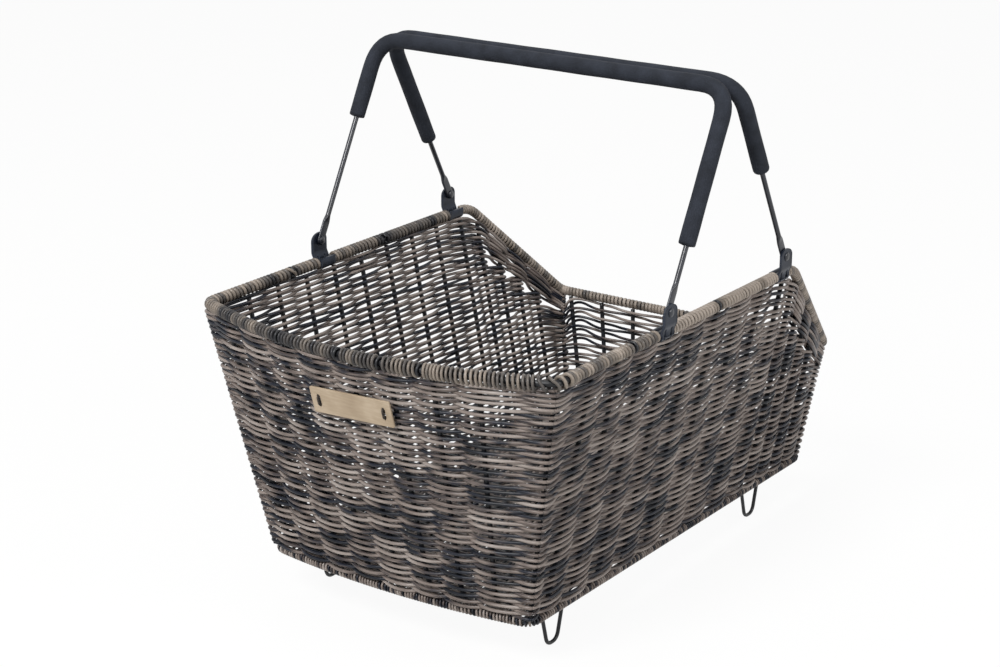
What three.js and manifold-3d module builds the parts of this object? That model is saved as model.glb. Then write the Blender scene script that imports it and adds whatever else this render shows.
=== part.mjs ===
// Rear-carrier bicycle basket: woven walls on a wire frame, a wrapped rim that drops to the saddle end,
// two bail handles with foam grips, and four wire hooks below the base.
// Millimetres, +Z up. X runs along the bicycle with the saddle end at +X, and +Y is its left side.

import * as THREE from 'three';
import { mergeVertices } from 'three/addons/utils/BufferGeometryUtils.js';
import Module from 'manifold-3d';

const wasm = await Module();
wasm.setup();

// Rim, measured to the middle of its rod from the middle of the base ring
const RIM_WIDTH = 318;
const RIM_REAR = 230;
const RIM_REAR_BOW = 35;
const RIM_HEIGHT = 200;
const RIM_CORNER_REACH = 13;
const BEND_FORWARD = 106;
const BEND_REACH = 12;
const SADDLE_FORWARD = 215.5;
const SADDLE_WIDTH = 268.5;
const SADDLE_HEIGHT = 101.5;
const SADDLE_CORNER_REACH = 8;

// Base ring, measured to the middle of its rod
const BASE_LENGTH = 407;
const BASE_WIDTH = 240;
const BASE_REAR_BOW = 10;
const BASE_CORNER_REACH = 9;

// Rods, strand windings and weave
const RIM_ROD_DIAMETER = 5;
const BASE_ROD_DIAMETER = 3.5;
const REAR_WRAP_DIAMETER = 12;
const SIDE_WRAP_DIAMETER = 11;
const SADDLE_WRAP_DIAMETER = 8.5;
const BASE_WRAP_DIAMETER = 7.5;
const WALL_THICKNESS = 9;
const FLOOR_COVER = 2.5;
const FLOOR_BAND = 15;

// Ridges that the woven rows raise on the walls: they run level up to the fan height, and above it they
// fan down towards the sloped rim
const RIDGE_PITCH = 21;
const GROOVE_WIDTH = 5;
const GROOVE_DEPTH = 1.6;
const FAN_HEIGHT = 62;

// Upright wires: each runs from rim to rim, down one wall, across the floor and up the other wall
const RIB_DIAMETER = 3.8;
const RIB_BEND_REACH = 20;

// Cross wires stand evenly from the rear margin to a setback behind the bend, and closer below the slope
const LEVEL_RIB_COUNT = 9;
const SLOPE_RIB_COUNT = 4;
const CROSS_RIB_REAR_MARGIN = 18.5;
const CROSS_RIB_FRONT_MARGIN = 23;
const BEND_RIB_SETBACK = 14.5;

// Lengthwise wires: pitch, and shift of their middle to the left, at the floor and at both rims
const LONG_RIB_COUNT = 8;
const LONG_RIB_FLOOR_PITCH = 28;
const LONG_RIB_FLOOR_SHIFT = 5;
const LONG_RIB_REAR_PITCH = 34;
const LONG_RIB_REAR_SHIFT = 12;
const LONG_RIB_SADDLE_PITCH = 33.5;
const LONG_RIB_SADDLE_SHIFT = 6.75;

// Handle brackets, pressed from sheet around the rim rod
const BRACKET_WIDTH = 18;
const BRACKET_CROWN = 6.5;
const BRACKET_SHEET = 1.4;
const BRACKET_DROP = 1.5;
const BRACKET_LIP = 3.5;
const BRACKET_JOG = 2;
const BRACKET_JOG_HEIGHT = 4;
const BRACKET_SLIT_WIDTH = 1.3;
const BRACKET_SLIT_LENGTH = 7;
const BRACKET_SLIT_SPACING = 8.5;
const REAR_PIVOT = -91;
const FRONT_PIVOT = 83.5;
const PIVOT_RISE = 16;
const RIVET_DIAMETER = 3.5;
const RIVET_HEAD_DIAMETER = 7;
const RIVET_HEAD_HEIGHT = 1.3;
const RIVET_CROWN_DIAMETER = 5;

// Bail handles: radius is from the pivot axis to the middle of the top bar
const HANDLE_WIRE_DIAMETER = 4;
const HANDLE_RADIUS = 171.5;
const HANDLE_CORNER_REACH = 25;
const PADDLE_WIDTH = 7.5;
const PADDLE_LENGTH = 21;
const PADDLE_THICKNESS = 2;
const GRIP_DIAMETER = 13;
const REAR_GRIP_RIGHT = 50;
const REAR_GRIP_LEFT = 104;
const FRONT_GRIP_RIGHT = 88;
const FRONT_GRIP_LEFT = 61;

// Label plate on the rear wall, held by two ties through its slots
const LABEL_LENGTH = 73.5;
const LABEL_HEIGHT = 21.5;
const LABEL_THICKNESS = 1.6;
const LABEL_RISE = 162;
const LABEL_SHIFT = 4;
const LABEL_TILT = THREE.MathUtils.degToRad(2.5);
const LABEL_CORNER = 1.5;
const SLOT_LENGTH = 10;
const SLOT_WIDTH = 2.8;
const SLOT_INSET = 7;
const TIE_DIAMETER = 1.6;
const TIE_DEPTH = 3;

// Wire hooks that hang below the floor
const HOOK_WIRE_DIAMETER = 3;
const HOOK_REAR = 154.5;
const HOOK_FRONT = 145;
const HOOK_SIDE = 106;
const HOOK_SPREAD = 28;
const HOOK_DROP = 33.75;
const HOOK_STUB = 6;
const HOOK_STUB_REACH = 3;
const HOOK_TIP_WIDTH = 13;
const HOOK_TIP_REACH = 6;

// Clearances between touching pieces, and facet counts
const CLEARANCE = 0.3;
const RIB_CLEARANCE = 0.4;
const PANEL_GAP = 0.4;
const ROD_JOINT = 0.4;
const CUT_OVERRUN = 5;
const REAR_STEPS = 8;
const CORNER_STEPS = 4;
const RIB_BEND_STEPS = 3;
const WALL_CORNER_STEPS = 2;
const ROD_SIDES = 6;
const WRAP_SIDES = 8;
const ROUND_SIDES = 10;
const ARC_STEPS = 5;

// Sizes that follow from the driving dimensions
const rimRodRadius = RIM_ROD_DIAMETER / 2;
const baseWrapRadius = BASE_WRAP_DIAMETER / 2;
const ribRadius = RIB_DIAMETER / 2;
const crossRibLevel = 0;
const longRibLevel = crossRibLevel + RIB_DIAMETER + 2 * RIB_CLEARANCE + CLEARANCE;
const floorBottom = -baseWrapRadius - CLEARANCE;
const floorTop = longRibLevel + ribRadius + FLOOR_COVER;
const floorInset = Math.max(WALL_THICKNESS / 2, baseWrapRadius) + CLEARANCE;
const slopeRun = SADDLE_FORWARD - BEND_FORWARD;
const slopeFall = RIM_HEIGHT - SADDLE_HEIGHT;
const slopeSecant = Math.hypot(slopeRun, slopeFall) / slopeRun;
const levelTrim = Math.max(REAR_WRAP_DIAMETER, SIDE_WRAP_DIAMETER) / 2 + CLEARANCE;
const slopeTrim = (SADDLE_WRAP_DIAMETER / 2 + CLEARANCE) * slopeSecant;
const saddleTrim = SADDLE_WRAP_DIAMETER / 2 + CLEARANCE;
const footTrim = baseWrapRadius + CLEARANCE;
const pivotHeight = RIM_HEIGHT + PIVOT_RISE;
const plateInner = rimRodRadius + CLEARANCE + BRACKET_JOG;
const paddleMiddle = plateInner - CLEARANCE - PADDLE_THICKNESS / 2;
const handleHalf = RIM_WIDTH / 2 + paddleMiddle;
const gripRadius = GRIP_DIAMETER / 2;
const handleLean = Math.asin((FRONT_PIVOT - REAR_PIVOT - GRIP_DIAMETER - CLEARANCE) / 2 / HANDLE_RADIUS);
const hookBottom = floorBottom - CLEARANCE - HOOK_DROP - HOOK_WIRE_DIAMETER / 2;
const bracketSide = BRACKET_WIDTH / 2 + CLEARANCE;
const bendReach = Math.min(BEND_REACH, BEND_FORWARD - FRONT_PIVOT - bracketSide - CLEARANCE);
const rearReach = RIM_REAR + RIM_REAR_BOW + REAR_WRAP_DIAMETER / 2;
const frontReach = SADDLE_FORWARD + SADDLE_WRAP_DIAMETER / 2;

// Finishes
const finish = (color, roughness, metalness) => (
  new THREE.MeshStandardMaterial({ color, roughness, metalness })
);
const strandFinish = finish(0x85796d, 0.6, 0);
const wrapFinish = finish(0x7b7168, 0.55, 0);
const coatedWire = finish(0x2c2d32, 0.5, 0.3);
const paintedSteel = finish(0x3a3e46, 0.4, 0.6);
const foamFinish = finish(0x3a3c42, 0.9, 0);
const labelFinish = finish(0xcbb08a, 0.8, 0);
const tieFinish = finish(0x2a2320, 0.8, 0);

const basket = new THREE.Group();

function addMesh(parent, name, geometry, material) {
  const mesh = new THREE.Mesh(geometry, material.clone());
  mesh.name = name;
  parent.add(mesh);
  return mesh;
}

// Path and tube helpers

const vec = (x, y, z) => new THREE.Vector3(x, y, z);

// A path through chosen stations, so that a sweep has a section only where the path bends.
class StationPath extends THREE.Curve {
  constructor(stations) {
    super();
    this.stations = stations;
  }

  getPoint(u) {
    const last = this.stations.length - 1;
    const place = Math.min(Math.max(u, 0), 1) * last;
    const index = Math.min(Math.floor(place), last - 1);
    return this.stations[index].clone().lerp(this.stations[index + 1], place - index);
  }

  getPointAt(u) {
    return this.getPoint(u);
  }

  getTangentAt(u) {
    const last = this.stations.length - 1;
    const index = Math.round(u * last);
    const before = this.stations[Math.max(index - 1, 0)];
    const here = this.stations[index];
    const after = this.stations[Math.min(index + 1, last)];
    const arriving = here.clone().sub(before).normalize();
    const leaving = after.clone().sub(here).normalize();
    return arriving.add(leaving).normalize();
  }
}

// Corner curve: leaves one line and joins the next at a distance of reach from the sharp corner.
function cornerCurve(before, corner, after, reach) {
  const start = corner.clone().add(before.clone().sub(corner).setLength(reach));
  const end = corner.clone().add(after.clone().sub(corner).setLength(reach));
  return new THREE.QuadraticBezierCurve3(start, corner, end);
}

// Stations of a polyline whose corners, given as [point, reach], are rounded.
function roundedPath(corners, steps = CORNER_STEPS) {
  const stations = [];
  corners.forEach(([point, reach], i) => {
    if (!reach) {
      stations.push(point.clone());
      return;
    }
    const curve = cornerCurve(corners[i - 1][0], point, corners[i + 1][0], reach);
    stations.push(...curve.getPoints(steps));
  });
  return stations;
}

function ringPoints(radius, sides) {
  const points = [];
  for (let i = 0; i < sides; i += 1) {
    const angle = (i / sides) * Math.PI * 2;
    points.push(new THREE.Vector2(radius * Math.cos(angle), radius * Math.sin(angle)));
  }
  return points;
}

function sweepShape(stations, shape) {
  const extrudePath = new StationPath(stations);
  return new THREE.ExtrudeGeometry(shape, { steps: stations.length - 1, extrudePath, bevelEnabled: false });
}

// Solid rod, or sleeve when a bore radius is given, along stations.
function sweep(stations, radius, sides, bore = 0) {
  const shape = new THREE.Shape(ringPoints(radius, sides));
  if (bore) shape.holes.push(new THREE.Path(ringPoints(bore, sides)));
  return sweepShape(stations, shape);
}

// Square tunnel that clears a rod along stations.
function tunnel(stations, rodRadius) {
  const half = rodRadius + RIB_CLEARANCE;
  const corners = [[-half, -half], [half, -half], [half, half], [-half, half]];
  return sweepShape(stations, new THREE.Shape(corners.map(([x, y]) => new THREE.Vector2(x, y))));
}

function extrude(shape, depth) {
  return new THREE.ExtrudeGeometry(shape, { depth, bevelEnabled: false, curveSegments: ARC_STEPS });
}

// The same stations with both ends carried on by a length.
function overrun(stations, length) {
  const first = stations[0].clone().add(stations[0].clone().sub(stations[1]).setLength(length));
  const last = stations.at(-1).clone().add(stations.at(-1).clone().sub(stations.at(-2)).setLength(length));
  return [first, ...stations, last];
}

// Boolean helpers

function toSolid(geometry, matrix) {
  const copy = geometry.clone();
  if (matrix) copy.applyMatrix4(matrix);
  copy.deleteAttribute('normal');
  copy.deleteAttribute('uv');
  const merged = mergeVertices(copy, 1e-4);
  const vertProperties = new Float32Array(merged.attributes.position.array);
  const triVerts = new Uint32Array(merged.index.array);
  return new wasm.Manifold(new wasm.Mesh({ numProp: 3, vertProperties, triVerts }));
}

function toGeometry(solid) {
  const mesh = solid.getMesh();
  const geometry = new THREE.BufferGeometry();
  geometry.setAttribute('position', new THREE.BufferAttribute(new Float32Array(mesh.vertProperties), 3));
  geometry.setIndex(new THREE.BufferAttribute(new Uint32Array(mesh.triVerts), 1));
  geometry.computeVertexNormals();
  return geometry;
}

const cutAll = (solid, tools) => tools.reduce((rest, tool) => rest.subtract(tool), solid);

// Outlines of rim and base

const rearCurveX = (y, reach, bow, width) => -reach - bow * (1 - (2 * y / width) ** 2);

// Points of the bowed rear end from the right corner to the left corner, both included.
function rearCurve(reach, bow, width, z) {
  const points = [];
  for (let i = 0; i <= REAR_STEPS; i += 1) {
    const y = width * (i / REAR_STEPS - 0.5);
    points.push(vec(rearCurveX(y, reach, bow, width), y, z));
  }
  return points;
}

const rimRear = rearCurve(RIM_REAR, RIM_REAR_BOW, RIM_WIDTH, RIM_HEIGHT);
const baseRear = rearCurve(BASE_LENGTH / 2, BASE_REAR_BOW, BASE_WIDTH, 0);

// The points of the rear end that its two rounded corners leave.
const clearOfCorners = (points, reach) => points.filter((point) => (
  point.distanceTo(points[0]) > reach && point.distanceTo(points.at(-1)) > reach
));

// Rear end as rounded-path corners: the two ends take the reach, the points between lie on the curve.
const rearCorners = (points, reach) => [
  [points[0], reach],
  ...clearOfCorners(points, reach).map((point) => [point, 0]),
  [points.at(-1), reach],
];

const rimPoint = {
  bend: (side) => vec(BEND_FORWARD, side * RIM_WIDTH / 2, RIM_HEIGHT),
  saddle: (side) => vec(SADDLE_FORWARD, side * SADDLE_WIDTH / 2, SADDLE_HEIGHT),
  side: (side, x) => vec(x, side * RIM_WIDTH / 2, RIM_HEIGHT),
};
const basePoint = {
  front: (side) => vec(BASE_LENGTH / 2, side * BASE_WIDTH / 2, 0),
  side: (side, x) => vec(x, side * BASE_WIDTH / 2, 0),
};

// Rim rod and its windings

const saddleMiddle = (side) => vec(SADDLE_FORWARD, side * ROD_JOINT / 2, SADDLE_HEIGHT);
const rimRodPath = roundedPath([
  [saddleMiddle(-1), 0],
  [rimPoint.saddle(-1), SADDLE_CORNER_REACH],
  [rimPoint.bend(-1), bendReach],
  ...rearCorners(rimRear, RIM_CORNER_REACH),
  [rimPoint.bend(1), bendReach],
  [rimPoint.saddle(1), SADDLE_CORNER_REACH],
  [saddleMiddle(1), 0],
]);
addMesh(basket, 'rim_rod', sweep(rimRodPath, rimRodRadius, ROD_SIDES), coatedWire);

const rimBore = rimRodRadius + RIB_CLEARANCE;

const rearWrapPath = roundedPath([
  [rimPoint.side(-1, REAR_PIVOT - bracketSide), 0],
  ...rearCorners(rimRear, RIM_CORNER_REACH),
  [rimPoint.side(1, REAR_PIVOT - bracketSide), 0],
]);
const rearWrap = sweep(rearWrapPath, REAR_WRAP_DIAMETER / 2, WRAP_SIDES, rimBore);
addMesh(basket, 'rim_wrap_rear', rearWrap, wrapFinish);

const saddleWrapPath = roundedPath([
  [rimPoint.side(-1, FRONT_PIVOT + bracketSide), 0],
  [rimPoint.bend(-1), bendReach],
  [rimPoint.saddle(-1), SADDLE_CORNER_REACH],
  [rimPoint.saddle(1), SADDLE_CORNER_REACH],
  [rimPoint.bend(1), bendReach],
  [rimPoint.side(1, FRONT_PIVOT + bracketSide), 0],
]);
const saddleWrap = sweep(saddleWrapPath, SADDLE_WRAP_DIAMETER / 2, WRAP_SIDES, rimBore);
addMesh(basket, 'rim_wrap_saddle', saddleWrap, wrapFinish);

for (const [label, side] of [['right', -1], ['left', 1]]) {
  const ends = [REAR_PIVOT + bracketSide, FRONT_PIVOT - bracketSide];
  const wrap = sweep(ends.map((x) => rimPoint.side(side, x)), SIDE_WRAP_DIAMETER / 2, WRAP_SIDES, rimBore);
  addMesh(basket, `rim_wrap_${label}`, wrap, wrapFinish);
}

// Base rod and its windings

const frontMiddle = (side) => vec(BASE_LENGTH / 2, side * ROD_JOINT / 2, 0);
const baseRodPath = roundedPath([
  [frontMiddle(-1), 0],
  [basePoint.front(-1), BASE_CORNER_REACH],
  ...rearCorners(baseRear, BASE_CORNER_REACH),
  [basePoint.front(1), BASE_CORNER_REACH],
  [frontMiddle(1), 0],
]);
addMesh(basket, 'base_rod', sweep(baseRodPath, BASE_ROD_DIAMETER / 2, ROD_SIDES), coatedWire);

const baseBore = BASE_ROD_DIAMETER / 2 + RIB_CLEARANCE;
const baseRearPath = roundedPath([
  [basePoint.side(-1, -PANEL_GAP / 2), 0],
  ...rearCorners(baseRear, BASE_CORNER_REACH),
  [basePoint.side(1, -PANEL_GAP / 2), 0],
]);
const baseFrontPath = roundedPath([
  [basePoint.side(-1, PANEL_GAP / 2), 0],
  [basePoint.front(-1), BASE_CORNER_REACH],
  [basePoint.front(1), BASE_CORNER_REACH],
  [basePoint.side(1, PANEL_GAP / 2), 0],
]);
addMesh(basket, 'base_wrap_rear', sweep(baseRearPath, baseWrapRadius, WRAP_SIDES, baseBore), wrapFinish);
addMesh(basket, 'base_wrap_front', sweep(baseFrontPath, baseWrapRadius, WRAP_SIDES, baseBore), wrapFinish);

// Upright wires

// Half width and height of the rim above a cross wire at x, and how far below it the wire ends.
function sideTop(x) {
  const along = Math.min(Math.max((x - BEND_FORWARD) / slopeRun, 0), 1);
  const half = (RIM_WIDTH + (SADDLE_WIDTH - RIM_WIDTH) * along) / 2;
  const ribSlopeTrim = slopeTrim + ribRadius * slopeFall / slopeRun;
  return { half, height: RIM_HEIGHT - slopeFall * along, trim: along > 0 ? ribSlopeTrim : levelTrim };
}

const backOff = (top, bottom, trim) => top.clone().add(bottom.clone().sub(top).setLength(trim));

function crossRibPath(x) {
  const { half, height, trim } = sideTop(x);
  const foot = (side) => vec(x, side * BASE_WIDTH / 2, crossRibLevel);
  const head = (side) => backOff(vec(x, side * half, height), foot(side), trim);
  const corners = [[head(-1), 0], [foot(-1), RIB_BEND_REACH], [foot(1), RIB_BEND_REACH], [head(1), 0]];
  return roundedPath(corners, RIB_BEND_STEPS);
}

const longRibFloorY = (place) => LONG_RIB_FLOOR_SHIFT + place * LONG_RIB_FLOOR_PITCH;

// Lengthwise wire a number of pitches from the middle one; it fans out towards both rims.
function longRibPath(place) {
  const rimY = LONG_RIB_REAR_SHIFT + place * LONG_RIB_REAR_PITCH;
  const baseY = longRibFloorY(place);
  const saddleY = LONG_RIB_SADDLE_SHIFT + place * LONG_RIB_SADDLE_PITCH;
  const rearTop = vec(rearCurveX(rimY, RIM_REAR, RIM_REAR_BOW, RIM_WIDTH), rimY, RIM_HEIGHT);
  const rearFoot = vec(rearCurveX(baseY, BASE_LENGTH / 2, BASE_REAR_BOW, BASE_WIDTH), baseY, 0);
  const saddleTop = vec(SADDLE_FORWARD, saddleY, SADDLE_HEIGHT);
  const saddleFoot = vec(BASE_LENGTH / 2, baseY, 0);
  const rearBend = rearFoot.clone().lerp(rearTop, longRibLevel / RIM_HEIGHT);
  const saddleBend = saddleFoot.clone().lerp(saddleTop, longRibLevel / SADDLE_HEIGHT);
  const corners = [
    [backOff(rearTop, rearFoot, levelTrim), 0],
    [rearBend, RIB_BEND_REACH],
    [saddleBend, RIB_BEND_REACH],
    [backOff(saddleTop, saddleFoot, saddleTrim), 0],
  ];
  return roundedPath(corners, RIB_BEND_STEPS);
}

// Places of the cross wires along X, from the rear, and of the lengthwise ones in pitches from their middle.
const evenly = (start, end, count) => (
  Array.from({ length: count }, (_, i) => start + (end - start) * i / (count - 1))
);
const bendRib = BEND_FORWARD - BEND_RIB_SETBACK;
const levelRibs = evenly(CROSS_RIB_REAR_MARGIN - BASE_LENGTH / 2, bendRib, LEVEL_RIB_COUNT);
const slopeRibs = evenly(bendRib, BASE_LENGTH / 2 - CROSS_RIB_FRONT_MARGIN, SLOPE_RIB_COUNT + 1).slice(1);
const crossRibs = [...levelRibs, ...slopeRibs];
const longRibs = evenly(-(LONG_RIB_COUNT - 1) / 2, (LONG_RIB_COUNT - 1) / 2, LONG_RIB_COUNT);

const ribPaths = [];
const ribKinds = [['cross_rib', crossRibs, crossRibPath], ['long_rib', longRibs, longRibPath]];
for (const [name, places, pathAt] of ribKinds) {
  places.forEach((place, i) => {
    const path = pathAt(place);
    ribPaths.push(path);
    addMesh(basket, `${name}_${i + 1}`, sweep(path, ribRadius, ROD_SIDES), coatedWire);
  });
}

// Woven walls: each is a slab between matching stations of the rim and the base ring

const rearCornerCurves = (side) => {
  const end = side < 0 ? 0 : -1;
  const curve = (before, points, reach) => (
    cornerCurve(before, points.at(end), clearOfCorners(points, reach).at(end), reach)
  );
  return {
    top: curve(rimPoint.bend(side), rimRear, RIM_CORNER_REACH),
    bottom: curve(basePoint.front(side), baseRear, BASE_CORNER_REACH),
    topTrim: levelTrim,
  };
};
const saddleCornerCurves = (side) => ({
  top: cornerCurve(rimPoint.bend(side), rimPoint.saddle(side), rimPoint.saddle(-side), SADDLE_CORNER_REACH),
  bottom: cornerCurve(
    basePoint.side(side, 0), basePoint.front(side), basePoint.front(-side), BASE_CORNER_REACH,
  ),
  topTrim: slopeTrim,
});

// Stations over half a corner: from 0.5 outwards to the end, or from the end back to 0.5.
function cornerStations({ top, bottom, topTrim }, from, to) {
  const stations = [];
  for (let i = 0; i <= WALL_CORNER_STEPS / 2; i += 1) {
    const u = from + (to - from) * (2 * i / WALL_CORNER_STEPS);
    const turn = Math.sign(to - from);
    stations.push({
      top: top.getPoint(u),
      bottom: bottom.getPoint(u),
      topTangent: top.getTangent(u).multiplyScalar(turn),
      bottomTangent: bottom.getTangent(u).multiplyScalar(turn),
      topTrim,
    });
  }
  return stations;
}

function sideStations(side) {
  const rear = rearCornerCurves(side);
  const saddle = saddleCornerCurves(side);
  const rearCorner = rimRear.at(side < 0 ? 0 : -1);
  const bend = cornerCurve(rearCorner, rimPoint.bend(side), rimPoint.saddle(side), bendReach);
  const rearTop = rear.top.getPoint(0);
  const rearBottom = rear.bottom.getPoint(0);
  const topSpan = saddle.top.getPoint(0).x - rearTop.x;
  const bottomSpan = saddle.bottom.getPoint(0).x - rearBottom.x;
  const forward = vec(1, 0, 0);
  const bendStations = bend.getPoints(WALL_CORNER_STEPS).map((top, i) => {
    const bottom = rearBottom.clone();
    bottom.x += bottomSpan * (top.x - rearTop.x) / topSpan;
    return {
      top,
      bottom,
      topTangent: bend.getTangent(i / WALL_CORNER_STEPS),
      bottomTangent: forward,
      topTrim: Math.max(levelTrim, slopeTrim),
    };
  });
  return [
    ...cornerStations(rear, 0.5, 0),
    ...bendStations,
    ...cornerStations(saddle, 0, 0.5),
  ];
}

function rearStations() {
  const clearTops = clearOfCorners(rimRear, RIM_CORNER_REACH);
  const clearFeet = clearOfCorners(baseRear, BASE_CORNER_REACH);
  const between = rimRear.slice(1, -1).map((top, i) => {
    const tangent = (points) => points[i + 2].clone().sub(points[i]).normalize();
    return {
      top,
      bottom: baseRear[i + 1],
      topTangent: tangent(rimRear),
      bottomTangent: tangent(baseRear),
      topTrim: levelTrim,
    };
  }).filter(({ top, bottom }) => clearTops.includes(top) && clearFeet.includes(bottom));
  return [
    ...cornerStations(rearCornerCurves(-1), 0.5, 1),
    ...between,
    ...cornerStations(rearCornerCurves(1), 1, 0.5),
  ];
}

const saddleStations = () => [
  ...cornerStations(saddleCornerCurves(-1), 0.5, 1),
  ...cornerStations(saddleCornerCurves(1), 1, 0.5),
];

// Rises above the foot at which a wall's face has a corner, with the depth of the face there: each ridge ends
// in a groove, and its middle is the deepest.
function ridgeProfile(topRise) {
  const count = Math.round(topRise / RIDGE_PITCH);
  const pitch = topRise / count;
  const profile = [[0, 0]];
  for (let i = 1; i < count; i += 1) {
    const middle = i * pitch;
    profile.push([middle - GROOVE_WIDTH / 2, 0], [middle, GROOVE_DEPTH], [middle + GROOVE_WIDTH / 2, 0]);
  }
  return [...profile, [topRise, 0]];
}

// Closed slab with ridged faces: every station gives a straight ruling from foot to head, thickened both
// ways.
function wallSlab(stations) {
  const last = stations.length - 1;
  const rulings = stations.map(({ top, bottom, topTangent, bottomTangent, topTrim }, i) => {
    const up = top.clone().sub(bottom).normalize();
    const shift = i === 0 ? PANEL_GAP / 2 : i === last ? -PANEL_GAP / 2 : 0;
    return {
      foot: bottom.clone().addScaledVector(up, footTrim).addScaledVector(bottomTangent, shift),
      head: top.clone().addScaledVector(up, -topTrim).addScaledVector(topTangent, shift),
      footNormal: bottomTangent.clone().cross(up).normalize(),
      headNormal: topTangent.clone().cross(up).normalize(),
    };
  });
  const topRise = Math.max(...rulings.map(({ foot, head }) => head.z - foot.z));
  const profile = ridgeProfile(topRise);
  const positions = [];
  for (const { foot, head, footNormal, headNormal } of rulings) {
    const rise = head.z - foot.z;
    const squeeze = (rise - FAN_HEIGHT) / (topRise - FAN_HEIGHT);
    const fanned = (level) => Math.min(level, FAN_HEIGHT) + Math.max(level - FAN_HEIGHT, 0) * squeeze;
    for (const [level, depth] of profile) {
      const share = fanned(level) / rise;
      const point = foot.clone().lerp(head, share);
      const normal = footNormal.clone().lerp(headNormal, share).setLength(WALL_THICKNESS / 2 - depth);
      positions.push(...point.clone().sub(normal).toArray(), ...point.clone().add(normal).toArray());
    }
  }
  // Each station has two points for every level, the first on the minus face and the second on the plus face.
  const index = [];
  const quad = (a, b, c, d) => index.push(a, b, c, a, c, d);
  const levels = profile.length;
  const minus = (station, level) => 2 * (station * levels + level);
  const plus = (station, level) => minus(station, level) + 1;
  for (let i = 0; i < last; i += 1) {
    for (let j = 0; j < levels - 1; j += 1) {
      quad(minus(i, j), minus(i, j + 1), minus(i + 1, j + 1), minus(i + 1, j));
      quad(plus(i, j + 1), plus(i, j), plus(i + 1, j), plus(i + 1, j + 1));
    }
    quad(minus(i, levels - 1), plus(i, levels - 1), plus(i + 1, levels - 1), minus(i + 1, levels - 1));
    quad(plus(i, 0), minus(i, 0), minus(i + 1, 0), plus(i + 1, 0));
  }
  for (let j = 0; j < levels - 1; j += 1) {
    quad(plus(0, j), plus(0, j + 1), minus(0, j + 1), minus(0, j));
    quad(minus(last, j), minus(last, j + 1), plus(last, j + 1), plus(last, j));
  }
  const geometry = new THREE.BufferGeometry();
  geometry.setAttribute('position', new THREE.Float32BufferAttribute(positions, 3));
  geometry.setIndex(index);
  return geometry;
}

const ribCuts = ribPaths.map((path) => toSolid(tunnel(overrun(path, CUT_OVERRUN), ribRadius)));

// Corner posts stand where two walls meet
const postCuts = [];
for (const [label, side] of [['right', -1], ['left', 1]]) {
  for (const [end, curves] of [['rear', rearCornerCurves(side)], ['saddle', saddleCornerCurves(side)]]) {
    const top = curves.top.getPoint(0.5);
    const bottom = curves.bottom.getPoint(0.5);
    const path = [backOff(bottom, top, footTrim), backOff(top, bottom, curves.topTrim)];
    addMesh(basket, `corner_post_${end}_${label}`, sweep(path, ribRadius, ROD_SIDES), coatedWire);
    postCuts.push(toSolid(tunnel(overrun(path, CUT_OVERRUN), ribRadius)));
  }
}

// Label frame: stands on the rear wall, a little right of its middle, its Z up the wall and its X outwards.
// The label hangs tilted, with its right end higher.
const labelFoot = vec(rearCurveX(-LABEL_SHIFT, BASE_LENGTH / 2, BASE_REAR_BOW, BASE_WIDTH), -LABEL_SHIFT, 0);
const labelHead = vec(rearCurveX(-LABEL_SHIFT, RIM_REAR, RIM_REAR_BOW, RIM_WIDTH), -LABEL_SHIFT, RIM_HEIGHT);
const rearLean = Math.atan2(labelHead.x - labelFoot.x, RIM_HEIGHT);
const labelFrame = new THREE.Group();
labelFrame.position.copy(labelFoot).lerp(labelHead, LABEL_RISE / RIM_HEIGHT);
labelFrame.rotation.set(-LABEL_TILT, rearLean, 0, 'YXZ');
basket.add(labelFrame);
labelFrame.updateMatrix();

const labelBack = -WALL_THICKNESS / 2 - CLEARANCE;
const tieMiddle = labelBack - LABEL_THICKNESS - TIE_DIAMETER / 2 - CLEARANCE;
const tieSpan = SLOT_LENGTH - SLOT_WIDTH;
const tieY = LABEL_LENGTH / 2 - SLOT_INSET;

function tiePath(y, depth) {
  const inner = -WALL_THICKNESS / 2 + depth;
  return roundedPath([
    [vec(inner, y, -tieSpan / 2), 0],
    [vec(tieMiddle, y, -tieSpan / 2), TIE_DIAMETER],
    [vec(tieMiddle, y, tieSpan / 2), TIE_DIAMETER],
    [vec(inner, y, tieSpan / 2), 0],
  ]);
}

const tieCuts = [-1, 1].map((side) => {
  const cut = tunnel(tiePath(side * tieY, TIE_DEPTH + CLEARANCE), TIE_DIAMETER / 2);
  return toSolid(cut, labelFrame.matrix);
});

const wallCuts = [...ribCuts, ...postCuts, ...tieCuts];
const walls = {
  weave_right: sideStations(-1),
  weave_left: sideStations(1),
  weave_rear: rearStations(),
  weave_saddle: saddleStations(),
};
for (const [name, stations] of Object.entries(walls)) {
  addMesh(basket, name, toGeometry(cutAll(toSolid(wallSlab(stations)), wallCuts)), strandFinish);
}

// Woven floor inside the base ring

const floorLength = BASE_LENGTH - 2 * floorInset;
const floorWidth = BASE_WIDTH - 2 * floorInset;
const floorRear = rearCurve(floorLength / 2, BASE_REAR_BOW, floorWidth, 0);
const floorFront = (side) => vec(floorLength / 2, side * floorWidth / 2, 0);
const floorOutline = roundedPath([
  [vec(floorLength / 2, 0, 0), 0],
  [floorFront(1), BASE_CORNER_REACH],
  ...rearCorners(floorRear, BASE_CORNER_REACH).reverse(),
  [floorFront(-1), BASE_CORNER_REACH],
  [vec(floorLength / 2, 0, 0), 0],
]).slice(0, -1);
const floorShape = new THREE.Shape(floorOutline.map((point) => new THREE.Vector2(point.x, point.y)));
const floorSlab = extrude(floorShape, floorTop - floorBottom);
floorSlab.translate(0, 0, floorBottom);

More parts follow.
